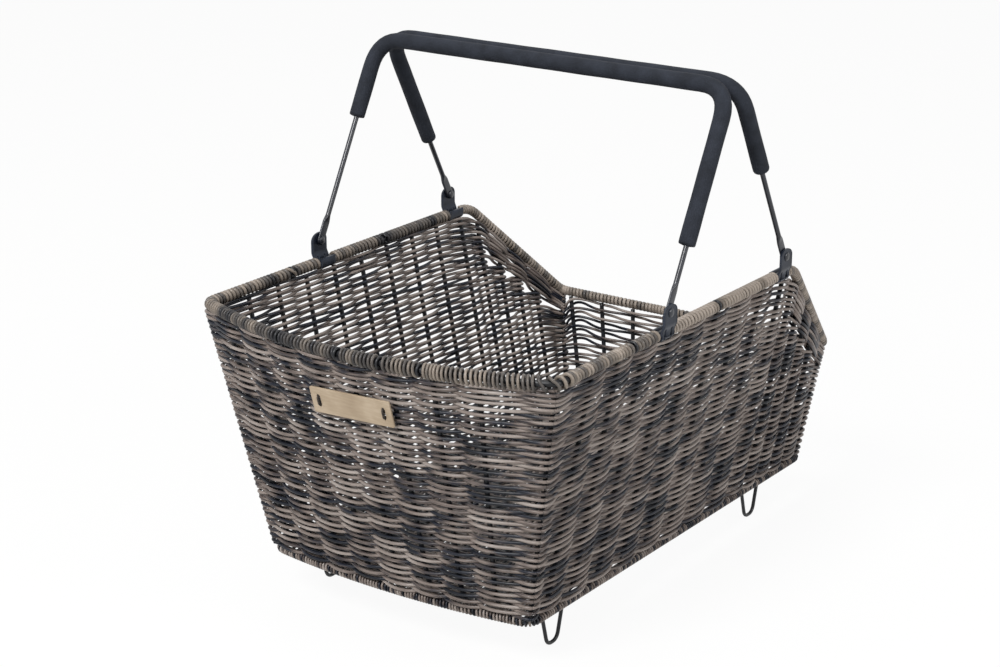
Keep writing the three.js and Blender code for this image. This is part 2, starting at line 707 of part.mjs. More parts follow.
// Openings between the bands of weave that cover the wires
const gaps = (places) => places.slice(1).map((place, i) => (
  [places[i] + FLOOR_BAND / 2, place - FLOOR_BAND / 2]
));
const floorOpenings = gaps(crossRibs).flatMap(([rear, front]) => (
  gaps(longRibs.map(longRibFloorY)).map(([right, left]) => {
    const opening = new THREE.BoxGeometry(front - rear, left - right, 2 * (floorTop - floorBottom));
    return toSolid(opening.translate((rear + front) / 2, (right + left) / 2, floorBottom));
  })
));
const floorCuts = [...ribCuts, ...floorOpenings];
addMesh(basket, 'weave_floor', toGeometry(cutAll(toSolid(floorSlab), floorCuts)), strandFinish);

// Brackets and rivets

const rivetHole = (height) => {
  const radius = RIVET_DIAMETER / 2 + CLEARANCE;
  return new THREE.Path().absarc(0, height, radius, 0, Math.PI * 2, true);
};

// Outline of a sheet of even thickness that follows a bent line in its own plane.
function sheetOutline(line, thickness) {
  const offset = (sign) => line.map((point, i) => {
    const arriving = point.clone().sub(line[Math.max(i - 1, 0)]);
    const leaving = line[Math.min(i + 1, line.length - 1)].clone().sub(point);
    const a = (arriving.length() ? arriving : leaving).clone().normalize();
    const b = (leaving.length() ? leaving : arriving).clone().normalize();
    const across = a.clone().add(b).normalize();
    const mitre = thickness / 2 / across.dot(a);
    return point.clone().add(new THREE.Vector2(-across.y, across.x).multiplyScalar(sign * mitre));
  });
  return new THREE.Shape([...offset(1), ...offset(-1).reverse()]);
}

// Bracket about the rod's middle: local X along the rim, Y outwards, Z up.
function bracketGeometry() {
  const half = rimRodRadius + CLEARANCE + BRACKET_SHEET / 2;
  const top = PIVOT_RISE + BRACKET_CROWN;
  const line = [new THREE.Vector2(-half, BRACKET_LIP)];
  for (let i = 0; i <= 2 * CORNER_STEPS; i += 1) {
    const angle = Math.PI * (1 + i / (2 * CORNER_STEPS));
    line.push(new THREE.Vector2(half * Math.cos(angle), half * Math.sin(angle) - BRACKET_DROP));
  }
  line.push(new THREE.Vector2(half, rimRodRadius));
  line.push(new THREE.Vector2(half + BRACKET_JOG, rimRodRadius + BRACKET_JOG_HEIGHT));
  line.push(new THREE.Vector2(half + BRACKET_JOG, top));
  const strip = extrude(sheetOutline(line, BRACKET_SHEET), BRACKET_WIDTH);
  const strips = new THREE.Matrix4().makeBasis(vec(0, 1, 0), vec(0, 0, 1), vec(1, 0, 0));
  strips.setPosition(-BRACKET_WIDTH / 2, 0, 0);

  const reach = half + BRACKET_JOG + BRACKET_SHEET;
  const face = new THREE.Shape();
  const faceBottom = -BRACKET_DROP - half - BRACKET_SHEET;
  face.moveTo(-BRACKET_WIDTH / 2, faceBottom);
  face.lineTo(BRACKET_WIDTH / 2, faceBottom);
  face.lineTo(BRACKET_WIDTH / 2, PIVOT_RISE);
  face.absellipse(0, PIVOT_RISE, BRACKET_WIDTH / 2, BRACKET_CROWN, 0, Math.PI, false);
  face.holes.push(rivetHole(PIVOT_RISE));
  const faceBlock = extrude(face, 2 * reach);
  const faces = new THREE.Matrix4().makeBasis(vec(1, 0, 0), vec(0, 0, 1), vec(0, -1, 0));
  faces.setPosition(0, reach, 0);

  const slits = [-1, 1].map((side) => {
    const slit = new THREE.BoxGeometry(BRACKET_SLIT_WIDTH, 2 * half, BRACKET_SLIT_LENGTH);
    slit.translate(side * BRACKET_SLIT_SPACING / 2, half + rimRodRadius, 0);
    return toSolid(slit);
  });
  return toGeometry(cutAll(toSolid(strip, strips).intersect(toSolid(faceBlock, faces)), slits));
}

// Rivet through paddle and plate: local Y outwards, its middle at the rod's middle plane.
function rivetGeometry() {
  const inner = paddleMiddle - PADDLE_THICKNESS / 2 - CLEARANCE;
  const outer = plateInner + BRACKET_SHEET + CLEARANCE;
  const head = RIVET_HEAD_DIAMETER / 2;
  const crown = RIVET_CROWN_DIAMETER / 2;
  const shank = RIVET_DIAMETER / 2;
  const profile = [
    [0, inner - RIVET_HEAD_HEIGHT],
    [crown, inner - RIVET_HEAD_HEIGHT],
    [head, inner],
    [shank, inner],
    [shank, outer],
    [head, outer],
    [crown, outer + RIVET_HEAD_HEIGHT],
    [0, outer + RIVET_HEAD_HEIGHT],
  ];
  return new THREE.LatheGeometry(profile.map(([r, y]) => new THREE.Vector2(r, y)), ROUND_SIDES);
}

for (const [label, side] of [['right', -1], ['left', 1]]) {
  for (const [end, x] of [['rear', REAR_PIVOT], ['front', FRONT_PIVOT]]) {
    const seat = new THREE.Group();
    seat.position.copy(rimPoint.side(side, x));
    seat.rotation.z = side < 0 ? Math.PI : 0;
    basket.add(seat);
    addMesh(seat, `bracket_${end}_${label}`, bracketGeometry(), paintedSteel);
    const rivet = addMesh(seat, `rivet_${end}_${label}`, rivetGeometry(), paintedSteel);
    rivet.position.z = PIVOT_RISE;
  }
}

// Bail handles, drawn upright about the pivot axis and then leaned

function bailPath(right, left) {
  return roundedPath([
    [vec(0, -handleHalf, right), 0],
    [vec(0, -handleHalf, HANDLE_RADIUS), HANDLE_CORNER_REACH],
    [vec(0, handleHalf, HANDLE_RADIUS), HANDLE_CORNER_REACH],
    [vec(0, handleHalf, left), 0],
  ]);
}

// Flattened wire end with an eye for the rivet.
function paddleSolid(side) {
  const width = PADDLE_WIDTH / 2;
  const neck = HANDLE_WIRE_DIAMETER / 2;
  const shape = new THREE.Shape();
  shape.absarc(0, 0, width, Math.PI, Math.PI * 2, false);
  shape.lineTo(width, PADDLE_LENGTH - width);
  shape.lineTo(neck, PADDLE_LENGTH);
  shape.lineTo(-neck, PADDLE_LENGTH);
  shape.lineTo(-width, PADDLE_LENGTH - width);
  shape.holes.push(rivetHole(0));
  const plate = extrude(shape, PADDLE_THICKNESS);
  const place = new THREE.Matrix4().makeBasis(vec(1, 0, 0), vec(0, 0, 1), vec(0, -1, 0));
  place.setPosition(0, side * handleHalf + PADDLE_THICKNESS / 2, 0);
  return toSolid(plate, place);
}

function bailWire() {
  const start = PADDLE_LENGTH - PADDLE_WIDTH / 2;
  const wire = toSolid(sweep(bailPath(start, start), HANDLE_WIRE_DIAMETER / 2, WRAP_SIDES));
  return toGeometry(wire.add(paddleSolid(-1)).add(paddleSolid(1)));
}

const bails = [
  ['rear_handle', REAR_PIVOT, handleLean, REAR_GRIP_RIGHT, REAR_GRIP_LEFT],
  ['front_handle', FRONT_PIVOT, -handleLean, FRONT_GRIP_RIGHT, FRONT_GRIP_LEFT],
];
for (const [name, pivot, lean, right, left] of bails) {
  const bail = new THREE.Group();
  bail.position.set(pivot, 0, pivotHeight);
  bail.rotation.y = lean;
  basket.add(bail);
  addMesh(bail, `${name}_wire`, bailWire(), paintedSteel);
  const bore = HANDLE_WIRE_DIAMETER / 2 + RIB_CLEARANCE;
  addMesh(bail, `${name}_grip`, sweep(bailPath(right, left), gripRadius, ROUND_SIDES, bore), foamFinish);
}

// Label plate and its ties

function labelGeometry() {
  const halfLength = LABEL_LENGTH / 2;
  const halfHeight = LABEL_HEIGHT / 2;
  const shape = new THREE.Shape();
  shape.moveTo(-halfLength + LABEL_CORNER, -halfHeight);
  shape.lineTo(halfLength - LABEL_CORNER, -halfHeight);
  shape.lineTo(halfLength, -halfHeight + LABEL_CORNER);
  shape.lineTo(halfLength, halfHeight - LABEL_CORNER);
  shape.lineTo(halfLength - LABEL_CORNER, halfHeight);
  shape.lineTo(-halfLength + LABEL_CORNER, halfHeight);
  shape.lineTo(-halfLength, halfHeight - LABEL_CORNER);
  shape.lineTo(-halfLength, -halfHeight + LABEL_CORNER);
  for (const side of [-1, 1]) {
    const slot = new THREE.Path();
    slot.absarc(side * tieY, tieSpan / 2, SLOT_WIDTH / 2, 0, Math.PI, false);
    slot.absarc(side * tieY, -tieSpan / 2, SLOT_WIDTH / 2, Math.PI, Math.PI * 2, false);
    shape.holes.push(slot);
  }
  const plate = extrude(shape, LABEL_THICKNESS);
  const place = new THREE.Matrix4().makeBasis(vec(0, 1, 0), vec(0, 0, 1), vec(1, 0, 0));
  place.setPosition(labelBack - LABEL_THICKNESS, 0, 0);
  return plate.applyMatrix4(place);
}

addMesh(labelFrame, 'label_plate', labelGeometry(), labelFinish);
for (const [label, side] of [['right', -1], ['left', 1]]) {
  const tie = sweep(tiePath(side * tieY, TIE_DEPTH), TIE_DIAMETER / 2, ROD_SIDES);
  addMesh(labelFrame, `label_tie_${label}`, tie, tieFinish);
}

// Hooks below the floor

for (const [label, side] of [['right', -1], ['left', 1]]) {
  for (const [end, x] of [['rear', -HOOK_REAR], ['front', HOOK_FRONT]]) {
    const top = floorBottom - CLEARANCE;
    const y = side * HOOK_SIDE;
    const path = roundedPath([
      [vec(x - HOOK_SPREAD / 2, y, top), 0],
      [vec(x - HOOK_SPREAD / 2, y, top - HOOK_STUB), HOOK_STUB_REACH],
      [vec(x - HOOK_TIP_WIDTH / 2, y, top - HOOK_DROP), HOOK_TIP_REACH],
      [vec(x + HOOK_TIP_WIDTH / 2, y, top - HOOK_DROP), HOOK_TIP_REACH],
      [vec(x + HOOK_SPREAD / 2, y, top - HOOK_STUB), HOOK_STUB_REACH],
      [vec(x + HOOK_SPREAD / 2, y, top), 0],
    ]);
    addMesh(basket, `hook_${end}_${label}`, sweep(path, HOOK_WIRE_DIAMETER / 2, WRAP_SIDES), coatedWire);
  }
}

// The origin is below the middle of the rim's plan, on the surface that the hooks stand on
basket.position.set((rearReach - frontReach) / 2, 0, -hookBottom);

export default basket;
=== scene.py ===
# %% [markdown]
# # A woven basket for the rear carrier of a bicycle
#
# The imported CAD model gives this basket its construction: rods, upright wires, plain slabs for the woven
# walls, brackets, bail handles and hooks, each at its real size and place. This lesson dresses it. Nearly
# everything on the real basket is a strand or a wire, so nearly everything here is one idea: a line in space,
# worked out with numpy, that carries a round or flattened section.

import bpy
import numpy as np
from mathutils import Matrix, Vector


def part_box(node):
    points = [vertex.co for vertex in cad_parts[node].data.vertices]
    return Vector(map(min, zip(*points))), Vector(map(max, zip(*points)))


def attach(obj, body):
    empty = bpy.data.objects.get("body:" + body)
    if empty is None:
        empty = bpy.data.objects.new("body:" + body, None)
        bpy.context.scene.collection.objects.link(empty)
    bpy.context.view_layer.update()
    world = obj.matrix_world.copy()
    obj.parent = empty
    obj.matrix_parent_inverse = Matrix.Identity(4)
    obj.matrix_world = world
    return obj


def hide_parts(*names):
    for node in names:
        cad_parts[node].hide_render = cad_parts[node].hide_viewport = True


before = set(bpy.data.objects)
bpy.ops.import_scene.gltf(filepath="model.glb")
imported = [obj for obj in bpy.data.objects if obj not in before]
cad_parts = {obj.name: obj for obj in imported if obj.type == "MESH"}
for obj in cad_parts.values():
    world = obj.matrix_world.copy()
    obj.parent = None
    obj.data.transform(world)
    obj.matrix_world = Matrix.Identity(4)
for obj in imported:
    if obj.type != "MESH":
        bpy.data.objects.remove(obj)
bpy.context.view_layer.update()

# %% [markdown]
# ## Sizes
#
# The lesson works in millimetres, in the basket's own axes: the middle of the base ring is the origin, X runs
# forward to the saddle end, Y to the left and Z up. The frame says where that origin lies in the packed
# model: so far in front of the first cross wire, at the level of the base rod.

# %% Driving sizes in millimetres
MM = 0.001
RIM_WIDTH = 318.0
RIM_REAR = 230.0
RIM_BOW = 35.0
RIM_HEIGHT = 200.0
RIM_CORNER = 8.0
BEND_FORWARD = 106.0
BEND_REACH = 12.0
SADDLE_FORWARD = 215.5
SADDLE_WIDTH = 268.5
SADDLE_HEIGHT = 101.5
SADDLE_CORNER = 8.0
BASE_LENGTH = 407.0
BASE_WIDTH = 240.0
BASE_BOW = 10.0
BASE_CORNER = 9.0
CROSS_FIRST = -185.0
CROSS_BEND = 91.5
CROSS_LAST = 180.5
LEVEL_COUNT = 9
SLOPE_COUNT = 4
CROSS_COUNT = LEVEL_COUNT + SLOPE_COUNT
LONG_COUNT = 8
REAR_PIVOT = -91.0
FRONT_PIVOT = 83.5
PIVOT_RISE = 16.0


def node_middle(node):
    """Middle of a CAD node's box, in metres."""
    low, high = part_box(node)
    return (np.array(low) + np.array(high)) / 2


ORIGIN = np.array([
    node_middle("cross_rib_1")[0] - CROSS_FIRST * MM,
    0.0,
    node_middle("base_rod")[2],
])


def to_frame(points):
    """Basket millimetres to the frame's metres: scale, then shift by the origin."""
    return points * MM + ORIGIN


print("basket origin in the frame, mm:", np.round(ORIGIN / MM, 2))

# %% [markdown]
# ## Camera
#
# The camera stands behind the basket and to its right, a little above the rim, with a long lens. Place, aim
# and lens were fitted to the corners of the rim and the base ring as they stand in the picture.

# %% Camera at the picture's angle
CAMERA_PLACE = (-1.42652, -0.97362, 0.76664)
CAMERA_AIM = (0.77511, 0.54676, -0.31663)
SENSOR_WIDTH = 36.0
LENS = 82.494

scene = bpy.context.scene
camera_data = bpy.data.cameras.new("camera")
camera_data.sensor_fit = "HORIZONTAL"
camera_data.sensor_width = SENSOR_WIDTH
camera_data.lens = LENS
camera = bpy.data.objects.new("camera", camera_data)
camera.location = CAMERA_PLACE
camera.rotation_euler = Vector(CAMERA_AIM).to_track_quat("-Z", "Y").to_euler()
scene.collection.objects.link(camera)
scene.camera = camera
scene.view_settings.view_transform = "Standard"
print("camera lens", LENS, "mm")

# %% [markdown]
# ## Colours and nodes
#
# Colours are written as sRGB hex values, the way a colour picker shows them, and one function turns them into
# the linear values that the renderer adds up. One more function adds a shader node with its settings and
# links, and every finish ends by giving its surface a colour and a relief.

# %% Colour and node helpers
def linear(hex_code):
    """sRGB hex to linear RGBA: c / 12.92 for dark values, ((c + 0.055) / 1.055) to the power 2.4 for the
    rest."""
    srgb = np.array([int(hex_code[i:i + 2], 16) for i in (1, 3, 5)]) / 255
    rgb = np.where(srgb <= 0.04045, srgb / 12.92, ((srgb + 0.055) / 1.055) ** 2.4)
    return (*rgb.tolist(), 1.0)


def feed(made, inputs):
    """Sets inputs of a node: a socket is linked, any other value is written on the input itself."""
    for key, value in inputs.items():
        if isinstance(value, bpy.types.NodeSocket):
            made.id_data.links.new(value, made.inputs[key])
        else:
            made.inputs[key].default_value = value


def add_node(tree, kind, inputs=None, stops=None, **settings):
    """One shader node with its settings, its inputs and, on a colour ramp, its stops as (place, hex)."""
    made = tree.nodes.new(kind)
    for key, value in settings.items():
        setattr(made, key, value)
    feed(made, inputs or {})
    if stops:
        ramp = made.color_ramp
        while len(ramp.elements) < len(stops):
            ramp.elements.new(1.0)
        for element, (place, hex_code) in zip(ramp.elements, stops):
            element.position = place
            element.color = linear(hex_code)
    return made


def new_material(name):
    """A material with an empty Principled surface: (material, node tree, surface node)."""
    material = bpy.data.materials.new(name)
    material.use_nodes = True
    tree = material.node_tree
    return material, tree, tree.nodes["Principled BSDF"]


def colour_and_relief(surface, tone, stops, height, strength, depth, inputs):
    """What every finish ends with: a ramp over its tone gives the colour, a height of so much strength and
    depth (in metres) lifts the surface, and the other inputs are set."""
    tree = surface.id_data
    colour = add_node(tree, "ShaderNodeValToRGB", {"Fac": tone}, stops=stops)
    bump = add_node(tree, "ShaderNodeBump", {"Height": height, "Strength": strength, "Distance": depth})
    feed(surface, {"Base Color": colour.outputs[0], "Normal": bump.outputs[0], **inputs})


# %% [markdown]
# ## Studio
#
# The basket was photographed on white under soft, even light. A pale floor lies under the hooks. A large soft
# lamp high behind the rear wall gives most of the light, weaker ones stand at the right side, above the
# basket and beyond its saddle end, and the world fills the shade. The white behind the basket is what camera,
# glossy and transmission rays see in the world and, in part, on the floor, so the floor still shows the
# basket's soft shadow and no extra light falls on the basket.

# %% World and floor finish
WHITE = (1.0, 1.0, 1.0, 1.0)
FLOOR_HALF = 8.0
FLOOR_WHITE_SHARE = 0.94
AMBIENT = 0.16
LAMP_AIM = (0.0, 0.0, 0.15)
LAMPS = (
    ("key_lamp", (-2.0, -0.05, 2.15), 1.0, 72.0),
    ("side_lamp", (0.3, -2.3, 1.2), 1.0, 22.0),
    ("top_lamp", (-0.5, 0.2, 3.0), 1.2, 16.0),
    ("back_lamp", (0.9, 1.2, 2.6), 1.0, 8.0),
)


def seen_directly(tree):
    """1 for rays that show a surface to the camera, by sight, in a reflection or through glass; else 0."""
    path = add_node(tree, "ShaderNodeLightPath")
    sight = add_node(tree, "ShaderNodeMath", {
        0: path.outputs["Is Camera Ray"], 1: path.outputs["Is Glossy Ray"],
    }, operation="MAXIMUM")
    return add_node(tree, "ShaderNodeMath", {
        0: sight.outputs[0], 1: path.outputs["Is Transmission Ray"],
    }, operation="MAXIMUM").outputs[0]


def studio_world():
    """White where it is seen, AMBIENT where it lights."""
    world = bpy.data.worlds.new("studio")
    world.use_nodes = True
    tree = world.node_tree
    strength = add_node(tree, "ShaderNodeMapRange", {
        "Value": seen_directly(tree), "To Min": AMBIENT, "To Max": 1.0,
    })
    feed(tree.nodes["Background"], {"Color": WHITE, "Strength": strength.outputs[0]})
    scene.world = world


def floor_finish():
    """Matt white board that is partly luminous where it is seen, and keeps the rest for the shadow."""
    material, tree, surface = new_material("matt_white_board")
    feed(surface, {"Base Color": linear("#f4f4f2"), "Roughness": 0.9})
    share = add_node(tree, "ShaderNodeMath", {
        0: seen_directly(tree), 1: FLOOR_WHITE_SHARE,
    }, operation="MULTIPLY")
    white = add_node(tree, "ShaderNodeEmission", {"Color": WHITE, "Strength": 1.0})
    mix = add_node(tree, "ShaderNodeMixShader", {
        0: share.outputs[0], 1: surface.outputs[0], 2: white.outputs[0],
    })
    feed(tree.nodes["Material Output"], {"Surface": mix.outputs[0]})
    return material


# %% Floor and lamps in place
floor_mesh = bpy.data.meshes.new("floor")
floor_corners = [(x * FLOOR_HALF, y * FLOOR_HALF, 0.0) for x, y in ((-1, -1), (1, -1), (1, 1), (-1, 1))]
floor_mesh.from_pydata(floor_corners, [], [(0, 1, 2, 3)])
floor = bpy.data.objects.new("floor", floor_mesh)
scene.collection.objects.link(floor)
floor_mesh.materials.append(floor_finish())
studio_world()

for lamp_name, place, size, power in LAMPS:
    lamp_data = bpy.data.lights.new(lamp_name, "AREA")
    lamp_data.shape = "DISK"
    lamp_data.size = size
    lamp_data.energy = power
    lamp = bpy.data.objects.new(lamp_name, lamp_data)
    lamp.location = place
    lamp.rotation_euler = (Vector(LAMP_AIM) - Vector(place)).to_track_quat("-Z", "Y").to_euler()
    scene.collection.objects.link(lamp)
print("studio:", len(LAMPS), "lamps")

# %% [markdown]
# ## Lines and skins
#
# A wire is bent from straight runs with rounded corners. A quadratic curve whose control point is the sharp
# corner gives a smooth bend and needs only the distance at which it leaves each run. A skin is then laid
# round a line: at each point two directions square to the line carry the section, so a whole stack of strands
# becomes one array of rings, and one mesh. Curve objects with a bevel would give tubes too, one at a time.
# Arrays make hundreds of strands together and know how far along each point is, which the finishes need.

# %% Line helpers
CURVE_STEPS = 9


def unit(vectors):
    """Vectors of length one."""
    return vectors / np.linalg.norm(vectors, axis=-1, keepdims=True)


def corner_curve(before, corner, after, reach):
    """Quadratic curve (1-u)^2 a + 2u(1-u) corner + u^2 b, with a and b on the two runs at the reach."""
    corner = np.array(corner, float)
    start = corner + reach * unit(np.array(before, float) - corner)
    end = corner + reach * unit(np.array(after, float) - corner)
    u = np.linspace(0.0, 1.0, CURVE_STEPS)[:, None]
    return (1 - u) ** 2 * start + 2 * u * (1 - u) * corner + u ** 2 * end


def rounded(corners):
    """Line through (point, reach) corners: a reach of 0 keeps the point, any other bends round it."""
    runs = []
    for i, (point, reach) in enumerate(corners):
        if reach:
            runs.append(corner_curve(corners[i - 1][0], point, corners[i + 1][0], reach))
        else:
            runs.append(np.array([point], float))
    return np.concatenate(runs)


def travelled(line):
    """Distance along a line at each of its points."""
    steps = np.linalg.norm(np.diff(line, axis=0), axis=1)
    return np.concatenate([[0.0], np.cumsum(steps)])


def at_distances(line, distances):
    """Points of a line at given distances along it, by straight interpolation."""
    along = travelled(line)
    return np.stack([np.interp(distances, along, line[:, k]) for k in range(3)], axis=1)


def spaced(line, spacing):
    """The same line with points at even steps of about the spacing."""
    length = travelled(line)[-1]
    return at_distances(line, np.linspace(0.0, length, max(2, round(length / spacing) + 1)))


def skin_rings(lines, across, half_across, half_over, sides, squareness=2.0):
    """Rings round lines: centre + half_across * C * across + half_over * S * over, where over is square to
    the line and to across, and C and S are cos and sin raised to 2 / squareness with their signs kept."""
    tangent = unit(np.gradient(lines, axis=-2))
    across = unit(across - (across * tangent).sum(-1, keepdims=True) * tangent)
    over = np.cross(tangent, across)
    angle = 2 * np.pi * np.arange(sides) / sides
    power = 2.0 / np.asarray(squareness)[..., None]
    cosine = np.sign(np.cos(angle)) * np.abs(np.cos(angle)) ** power
    sine = np.sign(np.sin(angle)) * np.abs(np.sin(angle)) ** power
    reach_across = np.asarray(half_across)[..., None] * cosine
    reach_over = np.asarray(half_over)[..., None] * sine
    return (
        lines[..., None, :]
        + reach_across[..., None] * across[..., None, :]
        + reach_over[..., None] * over[..., None, :]
    )


# %% [markdown]
# ## From arrays to objects
#
# Each piece becomes one mesh whose object stays at the origin. It rides on its CAD body, takes its material
# and hides the CAD nodes that it stands for. Strands also carry attributes that their finish reads: how far
# along the strand a point is and on which row and strand, where it lies round the section and, on a winding,
# how pale this part of the strand is.

# %% Mesh helpers
def add_mesh(name, vertices, faces, body, material, nodes=()):
    """One mesh object from basket millimetres, placed in the frame's metres."""
    mesh = bpy.data.meshes.new(name)
    mesh.from_pydata(to_frame(vertices).tolist(), [], faces)
    mesh.polygons.foreach_set("use_smooth", np.ones(len(mesh.polygons), bool))
    mesh.materials.append(material)
    made = bpy.data.objects.new(name, mesh)
    scene.collection.objects.link(made)
    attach(made, body)
    if nodes:
        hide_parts(*nodes)
    return made


def tube_faces(rings, start):
    """Quads between neighbouring rings and one cap at each end, all facing out."""
    tubes, points, sides = rings.shape[:3]
    index = start + np.arange(tubes * points * sides).reshape(tubes, points, sides)
    beside = np.roll(index, -1, axis=2)
    quads = np.stack([index[:, :-1], beside[:, :-1], beside[:, 1:], index[:, 1:]], axis=-1)
    return quads.reshape(-1, 4).tolist() + index[:, 0, ::-1].tolist() + index[:, -1].tolist()


def add_tubes(name, stacks, body, material, nodes=(), lays=None):
    """One mesh from stacks of rings shaped (tubes, points, sides, 3), with strand attributes if lays are
    given. A lay is shaped (tubes, points, 3): distance along the strand, row or turn, strand number."""
    faces = []
    start = 0
    for rings in stacks:
        faces += tube_faces(rings, start)
        start += rings.shape[0] * rings.shape[1] * rings.shape[2]
    vertices = np.concatenate([rings.reshape(-1, 3) for rings in stacks])
    made = add_mesh(name, vertices, faces, body, material, nodes)
    if lays is not None:
        spread = [np.broadcast_to(lay[:, :, None], rings.shape) for lay, rings in zip(lays, stacks)]
        write_attribute(made, "lay", np.concatenate([lay.reshape(-1, 3) for lay in spread]))
        write_attribute(made, "around", np.concatenate([section_places(rings) for rings in stacks]))
    print(name, len(made.data.polygons), "faces")
    return made


def section_places(rings):
    """Place of each ring point round its section as (cos, sin, 0)."""
    angle = 2 * np.pi * np.arange(rings.shape[2]) / rings.shape[2]
    places = np.stack([np.cos(angle), np.sin(angle), np.zeros_like(angle)], axis=1)
    return np.broadcast_to(places, rings.shape).reshape(-1, 3)


def write_attribute(made, name, values):
    """A vector on every vertex."""
    attribute = made.data.attributes.new(name, "FLOAT_VECTOR", "POINT")
    attribute.data.foreach_set("vector", values.astype(np.float32).ravel())


# %% [markdown]
# ## Strand finish
#
# The strands are extruded polyethylene made to look like rattan: a silky, slightly ribbed plastic whose
# colour drifts along its length from taupe to a blue-black. Painting each strand by hand would give the same
# drift, but noise read along the strand and across the rows gives neighbouring rows the shared dark and pale
# patches that a maker gets by weaving them from the same coil.

# %% Extruded polyethylene strand
STRAND_STOPS = (
    (0.34, "#0a0d14"),
    (0.43, "#1b1f2a"),
    (0.47, "#4a4240"),
    (0.52, "#766b65"),
    (0.72, "#9e958f"),
)
STREAK_LENGTH = 14.0
STREAKS_AROUND = 1.5
STREAK_SHADE = 0.24
# Steps through the noise from one row or strand to the next, so that each has streaks and patches of its own.
ROW_STEP = 5.3
STRAND_STEP = 9.1
PATCH_STEP = 3.7


def strand_finish(name, stops, patch_length, patch_rows):
    """Colour: a ramp over patches (patch_length mm by patch_rows rows) plus streaks 0.9 mm wide and 14 mm
    long, moved up or down by the tone attribute where a strand carries one, which on the side windings holds
    painted light and shade. The streaks also lift the surface by a few hundredths of a millimetre and vary
    its roughness."""
    material, tree, surface = new_material(name)
    lay = add_node(tree, "ShaderNodeAttribute", attribute_name="lay")
    around = add_node(tree, "ShaderNodeAttribute", attribute_name="around")
    patch_place = add_node(tree, "ShaderNodeVectorMath", {
        0: lay.outputs["Vector"], 1: (1 / patch_length, 1 / patch_rows, PATCH_STEP),
    }, operation="MULTIPLY")
    patch = add_node(tree, "ShaderNodeTexNoise", {
        "Vector": patch_place.outputs[0], "Scale": 1.0, "Detail": 2.0, "Roughness": 0.6,
    })
    strand_place = add_node(tree, "ShaderNodeVectorMath", {
        0: lay.outputs["Vector"], 1: (1 / STREAK_LENGTH, ROW_STEP, STRAND_STEP),
    }, operation="MULTIPLY")
    streak_place = add_node(tree, "ShaderNodeVectorMath", {
        0: around.outputs["Vector"], 1: (STREAKS_AROUND,) * 3, 2: strand_place.outputs[0],
    }, operation="MULTIPLY_ADD")
    streak = add_node(tree, "ShaderNodeTexNoise", {
        "Vector": streak_place.outputs[0], "Scale": 1.0, "Detail": 3.0, "Roughness": 0.65,
    })
    shade = add_node(tree, "ShaderNodeMath", {
        0: streak.outputs["Fac"], 1: STREAK_SHADE, 2: -STREAK_SHADE / 2,
    }, operation="MULTIPLY_ADD")
    # The tone attribute moves the colour: real colour bands on the rear winding, painted light and shade on
    # the side windings.
    tone_and_painted_light = add_node(tree, "ShaderNodeAttribute", attribute_name="tone")
    patched = add_node(tree, "ShaderNodeMath", {
        0: patch.outputs["Fac"], 1: tone_and_painted_light.outputs["Fac"],
    }, operation="ADD")
    tone = add_node(tree, "ShaderNodeMath", {0: patched.outputs[0], 1: shade.outputs[0]}, operation="ADD")
    gloss = add_node(tree, "ShaderNodeMapRange", {
        "Value": streak.outputs["Fac"], "To Min": 0.24, "To Max": 0.44,
    })
    colour_and_relief(surface, tone.outputs[0], stops, streak.outputs["Fac"], 0.5, 0.0003, {
        "Roughness": gloss.outputs[0], "IOR": 1.46, "Specular IOR Level": 0.3,
    })
    return material


woven_strand = strand_finish(
    "extruded_polyethylene_strand", STRAND_STOPS, patch_length=62.0, patch_rows=2.0,
)
print(woven_strand.name, "with", len(STRAND_STOPS), "shades")

# %% [markdown]
# ## Where the uprights stand
#
# The weave turns round thin upright wires. Thirteen stand along each long side, closer together below the
# slope, eight across each end, and a post stands in every corner, forty-six in all. Going round the basket in
# one direction, from the right saddle corner along the right side, the rear, the left side and the saddle
# end, each upright is a straight line from a foot on the base ring to a head on the rim. With all of them in
# one list, a row of the weave is a line through neighbours that runs on round the corners.

# %% Edges of rim and base
FORWARD, LEFT, UP = np.eye(3)
MIRROR = np.array([1.0, -1.0, 1.0])
SLOPE_RUN = SADDLE_FORWARD - BEND_FORWARD
SLOPE_FALL = RIM_HEIGHT - SADDLE_HEIGHT
REAR_SHARE = 0.4
REAR_POINTS = 17
# Lengthwise wires stand a little to the left of the middle: how far on each edge, and how far apart.
BASE_SHIFT = 5.0
BASE_SPACING = 28.0
RIM_SHIFT = 12.0
RIM_SPACING = 34.0
SADDLE_SHIFT = 6.75
SADDLE_SPACING = 33.5


def bowed_x(y, reach, bow, width):
    """Rear edge: x = -reach - bow (1 - (2y / width)^2)."""
    return -reach - bow * (1 - (2 * y / width) ** 2)


def bowed_rear(reach, bow, width, height):
    """Points of the rear edge between its two rounded corners, from right to left."""
    y = np.linspace(-REAR_SHARE, REAR_SHARE, REAR_POINTS) * width
    return np.stack([bowed_x(y, reach, bow, width), y, np.full_like(y, height)], axis=1)


rim_rear = bowed_rear(RIM_REAR, RIM_BOW, RIM_WIDTH, RIM_HEIGHT)
base_rear = bowed_rear(BASE_LENGTH / 2, BASE_BOW, BASE_WIDTH, 0.0)
RIM_REAR_CORNER = np.array([-RIM_REAR, -RIM_WIDTH / 2, RIM_HEIGHT])
BEND = np.array([BEND_FORWARD, -RIM_WIDTH / 2, RIM_HEIGHT])
SADDLE_END = np.array([SADDLE_FORWARD, -SADDLE_WIDTH / 2, SADDLE_HEIGHT])
BASE_REAR_CORNER = np.array([-BASE_LENGTH / 2, -BASE_WIDTH / 2, 0.0])
BASE_FRONT_CORNER = np.array([BASE_LENGTH / 2, -BASE_WIDTH / 2, 0.0])
print("the rear bows out by", RIM_BOW, "mm at the rim and", BASE_BOW, "mm at the base")


# %% Feet and heads of the uprights
def columns(x, y, z):
    """Points from coordinates that may be arrays or single numbers."""
    return np.stack(np.broadcast_arrays(np.asarray(x, float), y, z), axis=-1)


